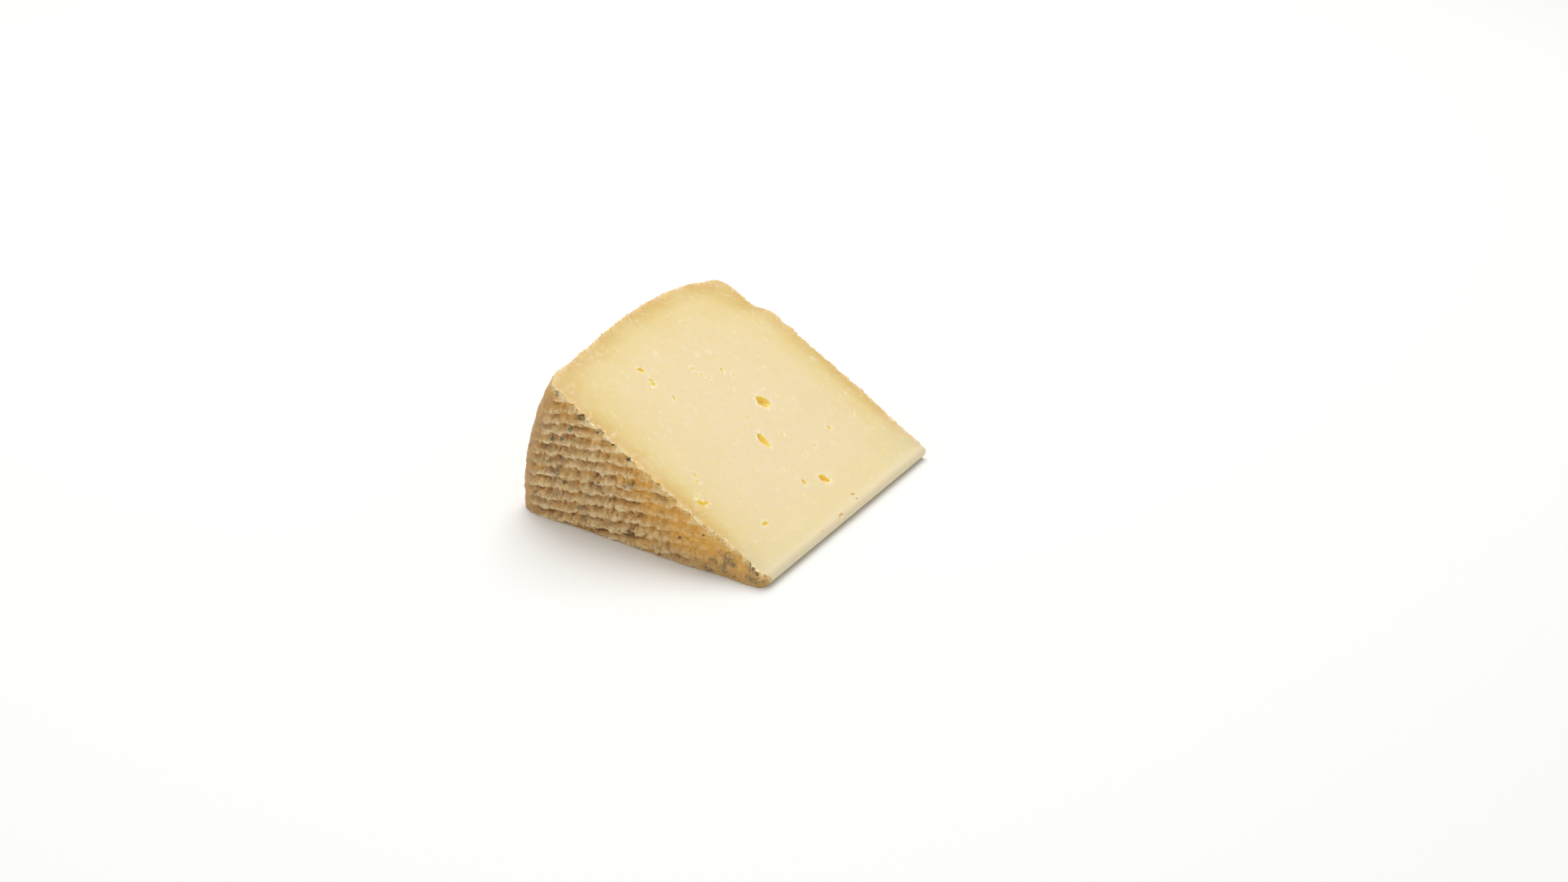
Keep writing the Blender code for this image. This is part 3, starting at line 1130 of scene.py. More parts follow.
    def build(self) -> bpy.types.Object:
        """Cut the wedge and return it, still in the wheel's own millimetres.

        Returns:
            The wedge's object, with a blank material for each skin.
        """
        points, faces = self.slice.build()
        wedge = Carving(NODE + "_look", points, faces, Skin.RIND)
        points, faces = self.cuts.build(self.wheel)
        wedge.cut("INTERSECT", Carving("knife", points, faces, Skin.PASTE))
        points, faces = self._chamfer_block()
        wedge.cut("DIFFERENCE", Carving("corner", points, faces, Skin.RIND))
        blobs = [
            self._opening_blobs(OPENINGS, "openings"),
            self._opening_blobs(OPENING_PARTS, "opening_parts"),
            self._opening_blobs(NOTCHES, "notches", Skin.TORN),
            self._opening_blobs(LOWER_OPENINGS, "lower_openings", lower=True),
            *self._chip_blobs(),
        ]
        for lumps in blobs:
            tool = Carving(lumps.name, np.concatenate(lumps.points), lumps.faces, lumps.skin)
            wedge.cut("DIFFERENCE", tool)
        return wedge.object

    def attributes(self, points: np.ndarray) -> dict[str, np.ndarray]:
        """Work out what the finishes read.

        Args:
            points: The wedge's vertices, in millimetres.

        Returns:
            For each vertex: its depth under the rind and under the upper cut, how high it lies
            on that cut and over the lower one, how far from the axis, how near an opening, what
            the ridges are like there, and how far inside the mould's spots it is.
        """
        radius = self.wheel.radius_of(points)
        near = self.ridges.read(points, radius)
        far = self.slice.read_back(points)
        front = smooth_step(points[:, 1], 6.0 + self.face_blend, 6.0)
        back_start = self.wheel.height - 10.0 - self.face_blend
        back = smooth_step(points[:, 1], back_start, back_start + self.face_blend)
        side = 1.0 - front - back
        read = {
            "depth": self.wheel.depth(points),
            "under": self.cuts.under_upper(points),
            "slope": self.cuts.slope_of(points),
            "above": points[:, 2],
            "radius": radius,
            "halo": self._halo(points),
            "crest": near["crest"] * front + far["crest"] * back + side * 0.5,
            "knob": near["knob"] * front + far["knob"] * back + side * self.slice.side_knob(points),
            "lip": near["lip"] * front + far["lip"] * back,
            "valley": near["valley"] * front + far["valley"] * back,
            "strength": self.ridges.strength(radius) * front + self.back_ridges.strength(radius) * back,
        }
        for mould in Mould:
            read[mould.value] = self._mould_field(points, mould, front)
        return read

    def _halo(self, points: np.ndarray) -> np.ndarray:
        """Return 1 at the rims of the upper cut's openings, easing to 0 a little way off.

        Args:
            points: Places, one to a row, in millimetres.

        Returns:
            A number from 0 to 1 for each.
        """
        slope = self.cuts.slope_of(points)
        halo = np.zeros(len(points))
        for opening in OPENINGS + OPENING_PARTS:
            turn = math.radians(opening.turn)
            up, across = slope - opening.slope, opening.along - points[:, 1]
            long = (up * math.cos(turn) + across * math.sin(turn)) * 2.0 / opening.length
            wide = (across * math.cos(turn) - up * math.sin(turn)) * 2.0 / opening.width
            away = (np.hypot(long, wide) - 1.0) * (opening.length + opening.width) / 4.0
            halo = np.maximum(halo, smooth_step(away, 0.7 + 0.35 * opening.length, 0.0))
        return halo

    def _mould_field(self, points: np.ndarray, mould: Mould, front: np.ndarray) -> np.ndarray:
        """Return how far inside the spots of one mould the points lie, in millimetres.

        Args:
            points: Places, one to a row, in millimetres.
            mould: The kind of mould.
            front: How much each place is near face, 0 to 1.

        Returns:
            The distance inside, below 0 outside, for each.
        """
        flat = points * FLATTEN
        limit = 3.0
        uneven = self.mould_grain.layered(flat, 1.8, 3) * 0.6
        inside = np.full(len(points), -limit)
        for mark in MARKS:
            if mark.mould is mould:
                turn = math.radians(mark.turn)
                east, north = points[:, 0] - mark.x, points[:, 2] - mark.z
                long = (east * math.cos(turn) + north * math.sin(turn)) / mark.stretch
                wide = north * math.cos(turn) - east * math.sin(turn)
                inside = np.maximum(inside, mark.size * (0.5 + 0.5 * uneven) - np.hypot(long, wide))
        return np.clip(inside, -limit, limit) * front - limit * (1.0 - front)


def colour(red: float, green: float, blue: float) -> tuple[float, float, float, float]:
    """Return a colour given as it looks on a screen, 0 to 255, as the light it stands for.

    Args:
        red: Red.
        green: Green.
        blue: Blue.

    Returns:
        Red, green, blue and an opacity of 1.
    """
    parts = []
    for value in (red, green, blue):
        share = value / 255.0
        parts.append(share / 12.92 if share <= 0.04045 else ((share + 0.055) / 1.055) ** 2.4)
    return (parts[0], parts[1], parts[2], 1.0)


class Value:
    """A node's number output that can be used in sums."""

    def __init__(self, graph: "Graph", socket: bpy.types.NodeSocket) -> None:
        """Keep the socket and the graph that new nodes go in."""
        self.graph = graph
        self.socket = socket

    def _math(self, operation: str, first: Any, second: Any = 0.0, clamp: bool = False) -> "Value":
        """Add one Math node.

        Args:
            operation: The node's operation.
            first: Its first number.
            second: Its second.
            clamp: Whether the result is kept between 0 and 1.

        Returns:
            The result.
        """
        settings = {"operation": operation, "use_clamp": clamp}
        node = self.graph.node("ShaderNodeMath", settings, {0: first, 1: second})
        return Value(self.graph, node.outputs[0])

    def __add__(self, other: Any) -> "Value":
        """Add."""
        return self._math("ADD", self, other)

    def __radd__(self, other: Any) -> "Value":
        """Add to a number."""
        return self._math("ADD", other, self)

    def __sub__(self, other: Any) -> "Value":
        """Subtract."""
        return self._math("SUBTRACT", self, other)

    def __rsub__(self, other: Any) -> "Value":
        """Subtract from a number."""
        return self._math("SUBTRACT", other, self)

    def __mul__(self, other: Any) -> "Value":
        """Multiply."""
        return self._math("MULTIPLY", self, other)

    def __rmul__(self, other: Any) -> "Value":
        """Multiply a number."""
        return self._math("MULTIPLY", other, self)

    def clamped(self) -> "Value":
        """Keep between 0 and 1."""
        return self._math("ADD", self, 0.0, clamp=True)

    def most(self, other: Any) -> "Value":
        """Take the larger."""
        return self._math("MAXIMUM", self, other)

    def step(self, low: float, high: float) -> "Value":
        """Ease from 0 at low to 1 at high. Low may lie above high.

        Args:
            low: Where the step starts.
            high: Where it ends.

        Returns:
            The eased value.
        """
        settings = {"interpolation_type": "SMOOTHSTEP", "clamp": True}
        turned = low > high
        ends = {"From Min": min(low, high), "From Max": max(low, high)}
        ends.update({"To Min": 1.0 if turned else 0.0, "To Max": 0.0 if turned else 1.0})
        node = self.graph.node("ShaderNodeMapRange", settings, {"Value": self, **ends})
        return Value(self.graph, node.outputs["Result"])


class Graph:
    """A node tree under construction."""

    def __init__(self, tree: bpy.types.NodeTree) -> None:
        """Keep the tree that nodes are added to."""
        self.tree = tree

    def node(self, kind: str, settings: dict[str, Any], inputs: dict[Any, Any]) -> bpy.types.Node:
        """Add one node.

        Args:
            kind: The node's type.
            settings: What is set on the node itself. A ramp's stops are given as "stops".
            inputs: A value or a link for each input, by name or number.

        Returns:
            The new node.
        """
        node = self.tree.nodes.new(kind)
        for name, value in settings.items():
            if name == "stops":
                self._set_stops(node.color_ramp, value)
            else:
                setattr(node, name, value)
        for place, value in inputs.items():
            if isinstance(value, Value):
                value = value.socket
            if isinstance(value, bpy.types.NodeSocket):
                self.tree.links.new(value, node.inputs[place])
            else:
                node.inputs[place].default_value = value
        return node

    def _set_stops(self, ramp: bpy.types.ColorRamp, stops: Sequence[tuple[float, Any]]) -> None:
        """Fill a ramp with its stops.

        Args:
            ramp: The ramp.
            stops: The place and colour of each stop, in order.
        """
        while len(ramp.elements) < len(stops):
            ramp.elements.new(1.0)
        for element, (place, shade) in zip(ramp.elements, stops):
            element.position = place
            element.color = shade


class Surface(Graph):
    """A material under construction."""

    def __init__(self, name: str) -> None:
        """Start a material with no nodes.

        Args:
            name: The material's name.
        """
        self.material = bpy.data.materials.new(name)
        self.material.use_nodes = True
        super().__init__(self.material.node_tree)
        self.tree.nodes.clear()
        self.place = self.node("ShaderNodeTexCoord", {}, {}).outputs["Object"]

    def read(self, name: str) -> Value:
        """Read one of the mesh's attributes."""
        node = self.node("ShaderNodeAttribute", {"attribute_name": name}, {})
        return Value(self, node.outputs["Fac"])

    def noise(self, size: float, detail: float = 2.0, stretch: Sequence[float] = (1, 1, 1)) -> Value:
        """Return noise from about -1 to 1, with bumps so many millimetres apart.

        Args:
            size: How far apart the bumps are.
            detail: How many finer layers it has.
            stretch: How much denser it is along each direction.

        Returns:
            The noise.
        """
        place = self.node("ShaderNodeMapping", {}, {"Vector": self.place, "Scale": tuple(stretch)})
        inputs = {"Vector": place.outputs[0], "Scale": 1.0 / (size * MM), "Detail": detail}
        return (Value(self, self.node("ShaderNodeTexNoise", {}, inputs).outputs["Fac"]) - 0.5) * 8.0

    def flecks(self, spacing: float, share: float, size: float, blur: float) -> Value:
        """Return soft round flecks.

        Args:
            spacing: How far apart they may lie, in millimetres.
            share: How many of the places have one.
            size: Their radius, in millimetres.
            blur: How soft their rim is, in millimetres.

        Returns:
            1 inside a fleck and 0 outside.
        """
        inputs = {"Vector": self.place, "Scale": 1.0 / (spacing * MM), "Randomness": 1.0}
        cells = self.node("ShaderNodeTexVoronoi", {"feature": "F1"}, inputs)
        colours = self.node("ShaderNodeSeparateColor", {}, {"Color": cells.outputs["Color"]})
        picked = Value(self, colours.outputs["Red"]).step(share + 0.01, share - 0.01)
        wide = Value(self, colours.outputs["Green"]) * 0.7 + 0.5
        uneven = self.noise(size * 1.6, 1.0) * (size * 0.45)
        away = Value(self, cells.outputs["Distance"]) * spacing + uneven
        return (wide * size - away).step(-blur, blur) * picked

    def mix(self, share: Any, first: Any, second: Any, way: str = "MIX") -> bpy.types.NodeSocket:
        """Mix two colours.

        Args:
            share: How much of the second there is, from 0 to 1.
            first: The first colour.
            second: The second colour.
            way: How the second goes over the first.

        Returns:
            The mixed colour.
        """
        settings = {"data_type": "RGBA", "blend_type": way, "clamp_factor": True}
        node = self.node("ShaderNodeMix", settings, {0: share, 6: first, 7: second})
        return node.outputs[2]

    def ramp(self, value: Value, stops: Sequence[tuple[float, Any]]) -> bpy.types.NodeSocket:
        """Turn a value into a colour."""
        return self.node("ShaderNodeValToRGB", {"stops": stops}, {"Fac": value}).outputs["Color"]

    def bump(self, height: Value, distance: float, strength: float = 1.0) -> bpy.types.NodeSocket:
        """Return a normal bent by a height, with its full depth in millimetres."""
        inputs = {"Height": height, "Distance": distance * MM, "Strength": strength}
        return self.node("ShaderNodeBump", {}, inputs).outputs["Normal"]

    def dress(self, inputs: dict[str, Any]) -> bpy.types.Material:
        """Finish with a Principled BSDF and return the material.

        Args:
            inputs: What each of the shader's sockets gets.

        Returns:
            The finished material.
        """
        shader = self.node("ShaderNodeBsdfPrincipled", {"subsurface_method": "RANDOM_WALK"}, inputs)
        self.node("ShaderNodeOutputMaterial", {}, {"Surface": shader.outputs[0]})
        return self.material


@dataclass(frozen=True)
class PasteFinish:
    """The cut paste: ivory in the middle, deeper yellow near the rind, whitish by the thin edge, partly its
    own colour and partly painted light.
    """

    name: str = "paste"
    reach: float = 17.0
    glow: float = 0.25

    def build(self) -> bpy.types.Material:
        """Return the material."""
        surface = Surface(self.name)
        depth = surface.read("depth") + surface.noise(6.0, 3.0) * 0.35
        shade = self._ground(surface, depth)
        shade = self._flecks(surface, shade)
        shade = self._rim(surface, depth, shade)
        fine = surface.noise(0.45, 3.0)
        return surface.dress({
            "Base Color": shade,
            "Roughness": fine * 0.05 + 0.48,
            "Specular IOR Level": 0.4,
            "Subsurface Weight": self.glow,
            "Subsurface Radius": (1.0, 0.6, 0.25),
            "Subsurface Scale": 0.003,
            "Normal": surface.bump(fine * 0.3 + surface.noise(1.6, 2.0) * 0.4, 0.016, 0.6),
        })

    def _ground(self, surface: Surface, depth: Value) -> bpy.types.NodeSocket:
        """Colour the paste by its depth under the rind, paler towards the thin edge, partly its own colour
        and partly a painted reflection, whitened on the rounded edge as painted light, and cloudy.

        Args:
            surface: The material under construction.
            depth: The depth under the rind.

        Returns:
            The colour.
        """
        shade = surface.ramp(depth * (1.0 / self.reach), (
            (0.0, colour(208, 177, 132)),
            (0.05, colour(206, 172, 110)),
            (0.10, colour(207, 174, 105)),
            (0.22, colour(214, 187, 121)),
            (0.35, colour(221, 199, 140)),
            (0.60, colour(225, 205, 158)),
            (1.0, colour(227, 208, 168)),
        ))
        pale = surface.ramp(depth * (1.0 / self.reach), (
            (0.0, colour(200, 178, 140)),
            (0.06, colour(210, 194, 160)),
            (0.35, colour(219, 204, 160)),
            (1.0, colour(226, 209, 160)),
        ))
        slope = surface.read("slope")
        # Paler towards the thin edge: partly the paste's own colour, partly a painted reflection.
        shade = surface.mix(slope.step(24.0, 1.0), shade, pale)
        # Painted light: the rounded thin edge turns away from the lamp and is whitened here, over its own
        # whitish paste.
        shade = surface.mix(slope.step(5.5, 0.0) * 0.85, shade, colour(234, 221, 192))
        cloud = (surface.noise(16.0, 3.0) * 0.5 + 0.3).clamped()
        shade = surface.mix(cloud * 0.3, shade, colour(231, 213, 172))
        warm = (surface.noise(2.6, 4.0) * 0.5 + 0.5).clamped()
        return surface.mix(warm, shade, (1.0, 0.992, 0.90, 1.0), "MULTIPLY")

    def _flecks(self, surface: Surface, shade: bpy.types.NodeSocket) -> bpy.types.NodeSocket:
        """Add whitish flecks, smears and the torn paste round the openings.

        Args:
            surface: The material under construction.
            shade: The colour so far.

        Returns:
            The new colour.
        """
        flecks = surface.flecks(4.4, 0.34, 0.50, 0.5).most(surface.flecks(7.0, 0.4, 0.85, 0.7))
        smear = ((surface.noise(2.0, 4.0) - 0.62).clamped() * 1.3).clamped()
        shade = surface.mix((flecks * 0.4).most(smear * 0.22), shade, colour(240, 227, 200))
        torn = (surface.read("halo") * (surface.noise(1.3, 3.0) * 1.2 + 0.3)).clamped()
        return surface.mix(torn * 0.65, shade, colour(242, 230, 206))

    def _rim(
        self, surface: Surface, depth: Value, shade: bpy.types.NodeSocket
    ) -> bpy.types.NodeSocket:
        """Add the whitish and yellow streaks beside the rind.

        Args:
            surface: The material under construction.
            depth: The depth under the rind.
            shade: The colour so far.

        Returns:
            The new colour.
        """
        streak = surface.noise(1.5, 4.0, (1.0, 0.6, 1.0))
        rim = (depth + streak * 1.3).step(3.0, 0.2) * (streak * 0.9 + 0.35).clamped()
        shade = surface.mix(rim * 0.75, shade, colour(240, 222, 182))
        yellow = (surface.noise(2.2, 3.0) * 0.9 - 0.15).clamped() * depth.step(3.4, 0.6)
        return surface.mix(yellow * 0.7, shade, colour(226, 184, 96))


@dataclass(frozen=True)
class OpeningFinish:
    """The inside of the openings: a wetter, deeper yellow."""

    name: str = "opening"

    def build(self) -> bpy.types.Material:
        """Return the material."""
        surface = Surface(self.name)
        under = surface.read("under") + surface.noise(0.9, 2.0) * 0.15
        shade = surface.ramp(under * 0.4, (
            (0.0, colour(248, 230, 162)),
            (0.2, colour(252, 229, 136)),
            (0.8, colour(251, 221, 110)),
        ))
        return surface.dress({
            "Base Color": shade,
            "Roughness": 0.4,
            "Subsurface Weight": 0.7,
            "Subsurface Radius": (1.0, 0.68, 0.25),
            "Subsurface Scale": 0.004,
            "Normal": surface.bump(surface.noise(0.9, 2.0), 0.02),
        })


@dataclass(frozen=True)
class TornFinish:
    """Torn and crumbled paste, paler and rougher than the cut."""

    name: str = "torn"

    def build(self) -> bpy.types.Material:
        """Return the material."""
        surface = Surface(self.name)
        pale = surface.noise(1.4, 3.0).step(-0.7, 0.7)
        shade = surface.mix(pale, colour(242, 208, 140), colour(255, 240, 198))
        return surface.dress({
            "Base Color": shade,
            "Roughness": 0.6,
            "Subsurface Weight": 0.5,
            "Subsurface Radius": (1.0, 0.75, 0.4),
            "Subsurface Scale": 0.0016,
            "Normal": surface.bump(surface.noise(0.35, 3.0), 0.04),
        })


@dataclass(frozen=True)
class RindFinish:
    """The dry rind: brown grooves darkened further by painted shade, pale ragged crests, golden near the
    cut, with mould.
    """

    name: str = "rind"

    def build(self) -> bpy.types.Material:
        """Return the material."""
        surface = Surface(self.name)
        grain = surface.noise(0.8, 4.0)
        under = surface.read("under")
        radius = surface.read("radius")
        shade = self._ridged(surface, grain, under, radius)
        shade = self._weathered(surface, shade, grain, radius)
        shade = self._rim(surface, shade, under)
        shade = self._mouldy(surface, shade, grain)
        return surface.dress({
            "Base Color": shade,
            "Roughness": grain * 0.06 + 0.64,
            "Specular IOR Level": 0.35,
            "Subsurface Weight": 0.08,
            "Subsurface Radius": (1.0, 0.55, 0.25),
            "Subsurface Scale": 0.0015,
            "Normal": surface.bump(grain * 0.5 + surface.noise(0.35, 2.0) * 0.3, 0.09, 0.9),
        })

    def _ridged(
        self, surface: Surface, grain: Value, under: Value, radius: Value
    ) -> bpy.types.NodeSocket:
        """Colour the relief, golden by the cut and the tip, pale on the lips; the grooves, pits and gaps
        between the teeth are brown and darker, and the lumps paler, partly the rind's own colour and partly
        painted shade and painted light.

        Args:
            surface: The material under construction.
            grain: The rind's fine noise.
            under: The depth under the upper cut.
            radius: The distance from the wheel's axis.

        Returns:
            The colour.
        """
        strength = surface.read("strength")
        crest = surface.read("crest") * strength + (1.0 - strength) * 0.5
        knob = surface.read("knob")
        # Painted shade and light over the rind's own tones: darker in the grooves and pits, paler on the
        # lumps.
        shade = surface.ramp(crest * 0.72 + grain * 0.14 + knob * 0.62 + 0.1, (
            (0.0, colour(126, 88, 50)),
            (0.12, colour(168, 123, 72)),
            (0.35, colour(193, 148, 92)),
            (0.60, colour(208, 168, 108)),
            (0.80, colour(217, 181, 121)),
            (1.0, colour(229, 199, 146)),
        ))
        golden = under.step(20.0, 1.0) * (radius.step(82.0, 56.0) * 0.26 + 0.40)
        golden = golden + radius.step(62.0, 18.0) * 0.54 + surface.noise(7.0, 3.0) * 0.26
        golden = (golden * (1.5 - crest * 0.9)).clamped()
        shade = surface.mix(golden * 0.8, shade, colour(238, 182, 84))
        amber = (surface.noise(3.4, 3.0) * 0.7 - 0.1).clamped()
        shade = surface.mix(amber * 0.26, shade, colour(202, 140, 68))
        shade = surface.mix(radius.step(88.0, 94.0) * 0.6, shade, colour(196, 152, 96))
        dull = (surface.noise(4.0, 4.0) * 0.7 + 0.3).clamped()
        dull = dull * radius.step(38.0, 78.0) * under.step(2.0, 22.0)
        shade = surface.mix(dull * 0.55, shade, colour(176, 151, 116))
        # Painted shade over the rind's own brown: darker between the teeth, more so further from the upper
        # cut.
        valley = (surface.read("valley") * 1.5 + grain * 0.25 - 0.25).clamped()
        low = under.step(4.0, 30.0) * 0.4 + 0.3
        shade = surface.mix(valley * low, shade, colour(110, 82, 48))
        lip = surface.read("lip") * strength * (surface.noise(1.2, 3.0) * 0.9 + 0.45 + knob).clamped()
        return surface.mix(lip.clamped() * 0.82, shade, colour(246, 226, 182))

    def _weathered(
        self, surface: Surface, shade: bpy.types.NodeSocket, grain: Value, radius: Value
    ) -> bpy.types.NodeSocket:
        """Add the dust low on the tip and fine brown specks.

        Args:
            surface: The material under construction.
            shade: The colour so far.
            grain: The rind's fine noise.
            radius: The distance from the wheel's axis.

        Returns:
            The new colour.
        """
        dust = surface.read("above").step(9.0, 0.5) * radius.step(60.0, 14.0)
        dust = (dust * (grain * 0.4 + 0.75)).clamped()
        shade = surface.mix(dust * 0.6, shade, colour(172, 150, 114))
        specks = surface.flecks(2.1, 0.34, 0.22, 0.15) * (surface.noise(7.0, 3.0) * 0.6 + 0.4).clamped()
        return surface.mix(specks * 0.7, shade, colour(84, 64, 42))

    def _rim(
        self, surface: Surface, shade: bpy.types.NodeSocket, under: Value
    ) -> bpy.types.NodeSocket:
        """Add the whitish and yellow streaks beside the upper cut.

        Args:
            surface: The material under construction.
            shade: The colour so far.
            under: The depth under the upper cut.

        Returns:
            The new colour.
        """
        streak = surface.noise(1.5, 4.0)
        rim = (under + streak * 1.4).step(3.4, 0.3) * (streak * 0.7 + 0.75).clamped()
        shade = surface.mix(rim, shade, colour(255, 238, 186))
        yellow = (surface.noise(2.4, 3.0) - 0.2).clamped() * under.step(5.0, 1.0)
        return surface.mix(yellow * 0.8, shade, colour(222, 170, 70))

    def _mouldy(
        self, surface: Surface, shade: bpy.types.NodeSocket, grain: Value
    ) -> bpy.types.NodeSocket:
        """Add the ragged spots of mould.

        Args:
            surface: The material under construction.
            shade: The colour so far.
            grain: The rind's fine noise.

        Returns:
            The new colour.
        """
        ragged = surface.noise(0.8, 3.0) * 0.22
        for mould, tint, amount, softness in (
            (Mould.TEAL, colour(84, 102, 86), 0.75, 0.45),
            (Mould.OLIVE, colour(108, 94, 62), 0.6, 0.45),
            (Mould.GREY, colour(132, 117, 92), 0.7, 0.8),
            (Mould.BLACK, colour(66, 54, 40), 0.8, 0.45),
        ):
            spot = (surface.read(mould.value) + ragged).step(-softness, softness) * (grain * 0.35 + 0.9)
            shade = surface.mix((spot * amount).clamped(), shade, tint)
        return shade


@dataclass(frozen=True)
class FloorFinish:
    """The plain pale floor."""

    name: str = "floor"

    def build(self) -> bpy.types.Material:
        """Return the material."""
        surface = Surface(self.name)
        return surface.dress({"Base Color": (0.80, 0.80, 0.79, 1.0), "Roughness": 0.6})


@dataclass
class Crumbs:
    """Loose and clinging crumbs along the wedge's rims, strewn by Geometry Nodes."""

    wedge: CheeseWedge
    material: bpy.types.Material
    name: str = "rim_crumbs"
    smallest: float = 0.2 * MM
    raggedness: float = 0.4 * MM
    clump_size: float = 5.0
    burr_size: float = 0.45

    def ribbon(self, rows: Sequence[Sequence[np.ndarray]], name: str) -> bpy.types.Object:
        """Return a strip of surface that crumbs are strewn over.

        Args:
            rows: Its points, row after row.
            name: Its name.

        Returns:
            The strip's object.
        """
        points = [tuple(to_frame(np.array([place]))[0]) for row in rows for place in row]
        mesh = bpy.data.meshes.new(name)
        mesh.from_pydata(points, [], grid_faces(len(rows), len(rows[0])))
        return add_object(name, mesh)

    def tree(self) -> bpy.types.NodeTree:
        """Build the node tree that strews the crumbs over a strip.

        Returns:
            The tree, with its sizes and its seed as named inputs.
        """
        tree = bpy.data.node_groups.new("strew_crumbs", "GeometryNodeTree")
        sockets = (
            ("Strip", "NodeSocketGeometry", None),
            ("Crumbs per Square Metre", "NodeSocketFloat", 1.0e6),
            ("Smallest", "NodeSocketFloat", 0.0003),
            ("Largest", "NodeSocketFloat", 0.001),
            ("Raggedness", "NodeSocketFloat", 0.0004),
            ("Seed", "NodeSocketInt", 3),
        )
        for name, kind, start in sockets:
            socket = tree.interface.new_socket(name, in_out="INPUT", socket_type=kind)
            if start is not None:
                socket.default_value = start
        tree.interface.new_socket("Crumbs", in_out="OUTPUT", socket_type="NodeSocketGeometry")
        graph = Graph(tree)
        given = graph.node("NodeGroupInput", {}, {}).outputs
        clump_scale = 1.0 / (self.clump_size * MM)
        clumps = graph.node("ShaderNodeTexNoise", {}, {"Scale": clump_scale, "Detail": 1.0})
        patchy = graph.node("ShaderNodeMapRange", {}, {
            "Value": clumps.outputs["Fac"], "From Min": 0.44, "From Max": 0.60,
            "To Max": given["Crumbs per Square Metre"],
        })
        strewn = graph.node("GeometryNodeDistributePointsOnFaces", {"distribute_method": "RANDOM"}, {
            "Mesh": given["Strip"], "Density": patchy.outputs["Result"], "Seed": given["Seed"],
        })
        block = graph.node("GeometryNodeMeshCube", {}, {
            "Size": (1.0, 1.0, 1.0), "Vertices X": 3, "Vertices Y": 3, "Vertices Z": 3,
        })
        place = graph.node("GeometryNodeInputPosition", {}, {}).outputs[0]
        round_place = graph.node("ShaderNodeVectorMath", {"operation": "NORMALIZE"}, {0: place})
        half = graph.node("ShaderNodeVectorMath", {"operation": "SCALE"}, {
            0: round_place.outputs[0], "Scale": 0.5,
        })
        lump = graph.node("GeometryNodeSetPosition", {}, {
            "Geometry": block.outputs[0], "Position": half.outputs[0],
        })
        low = graph.node("ShaderNodeCombineXYZ", {}, {key: given["Smallest"] for key in "XYZ"})
        high = graph.node("ShaderNodeCombineXYZ", {}, {key: given["Largest"] for key in "XYZ"})
        sizes = graph.node("FunctionNodeRandomValue", {"data_type": "FLOAT_VECTOR"}, {
            0: low.outputs[0], 1: high.outputs[0], "Seed": given["Seed"],
        })
        turns = graph.node("FunctionNodeRandomValue", {"data_type": "FLOAT_VECTOR"}, {
            1: (6.28, 6.28, 6.28), "Seed": 9,
        })
        placed = graph.node("GeometryNodeInstanceOnPoints", {}, {
            "Points": strewn.outputs["Points"], "Instance": lump.outputs[0],
            "Rotation": turns.outputs[0], "Scale": sizes.outputs[0],
        })
        real = graph.node("GeometryNodeRealizeInstances", {}, {0: placed.outputs[0]})
        burr_scale = 1.0 / (self.burr_size * MM)
        ragged = graph.node("ShaderNodeTexNoise", {}, {"Scale": burr_scale, "Detail": 2.0})
        centred = graph.node("ShaderNodeVectorMath", {"operation": "SUBTRACT"}, {
            0: ragged.outputs["Color"], 1: (0.5, 0.5, 0.5),
        })
        moved = graph.node("ShaderNodeVectorMath", {"operation": "SCALE"}, {
            0: centred.outputs[0], "Scale": given["Raggedness"],
        })
        shaped = graph.node("GeometryNodeSetPosition", {}, {
            "Geometry": real.outputs[0], "Offset": moved.outputs[0],
        })
        dressed = graph.node("GeometryNodeSetMaterial", {}, {
            "Geometry": shaped.outputs[0], "Material": self.material,
        })
        graph.node("NodeGroupOutput", {}, {0: dressed.outputs[0]})
        return tree

    def strew(
        self, strip: bpy.types.Object, tree: bpy.types.NodeTree, inputs: dict[str, Any]
    ) -> bpy.types.Mesh:
        """Strew crumbs over a strip, which is used up.

        Args:
            strip: The strip.
            tree: The node tree.
            inputs: The tree's inputs by name.

        Returns:
            The crumbs as a plain mesh.
        """
        modifier = strip.modifiers.new("strew", "NODES")
        modifier.node_group = tree
        for item in tree.interface.items_tree:
            if item.item_type == "SOCKET" and item.in_out == "INPUT" and item.name in inputs:
                modifier[item.identifier] = inputs[item.name]
        graph = bpy.context.evaluated_depsgraph_get()
        mesh = bpy.data.meshes.new_from_object(strip.evaluated_get(graph))
        strip.modifiers.clear()
        bpy.data.objects.remove(strip)
        return mesh

    def build(self) -> bpy.types.Object:
        """Strew the crumbs along every rim and return them as one piece.

        Returns:
            The crumbs' object.
        """
        wedge = self.wedge
        tree = self.tree()
        near_rows = [
            [wedge.near_rim_place(slope, under) for under in (0.2, 0.7, 1.3)]
            for slope in np.arange(2.0, 90.0, 0.8)
        ]
        far_rows = [
            [wedge.far_rim_place(slope, under) for under in (0.2, 0.7)]
            for slope in np.arange(2.0, 82.0, 0.8)
        ]
        side_rows = [
            [wedge.rim_place(radius, along, under) for under in (0.2, 0.6)]
            for radius, along, _, _ in wedge.wheel.side_profile(1.5)
        ]
        strips = ((near_rows, 0.5e6, 0.8), (far_rows, 2.4e6, 0.9), (side_rows, 1.6e6, 0.8))
        joined = bmesh.new()
        for seed, (rows, density, largest) in enumerate(strips, start=3):
            mesh = self.strew(self.ribbon(rows, "strip"), tree, {
                "Crumbs per Square Metre": density,
                "Smallest": self.smallest,
                "Largest": largest * MM,
                "Raggedness": self.raggedness,
                "Seed": seed,
            })
            joined.from_mesh(mesh)
            bpy.data.meshes.remove(mesh)
        mesh = bpy.data.meshes.new(self.name)
        joined.to_mesh(mesh)
        joined.free()
        mesh.materials.append(self.material)
        mesh.shade_smooth()
        return add_object(self.name, mesh)


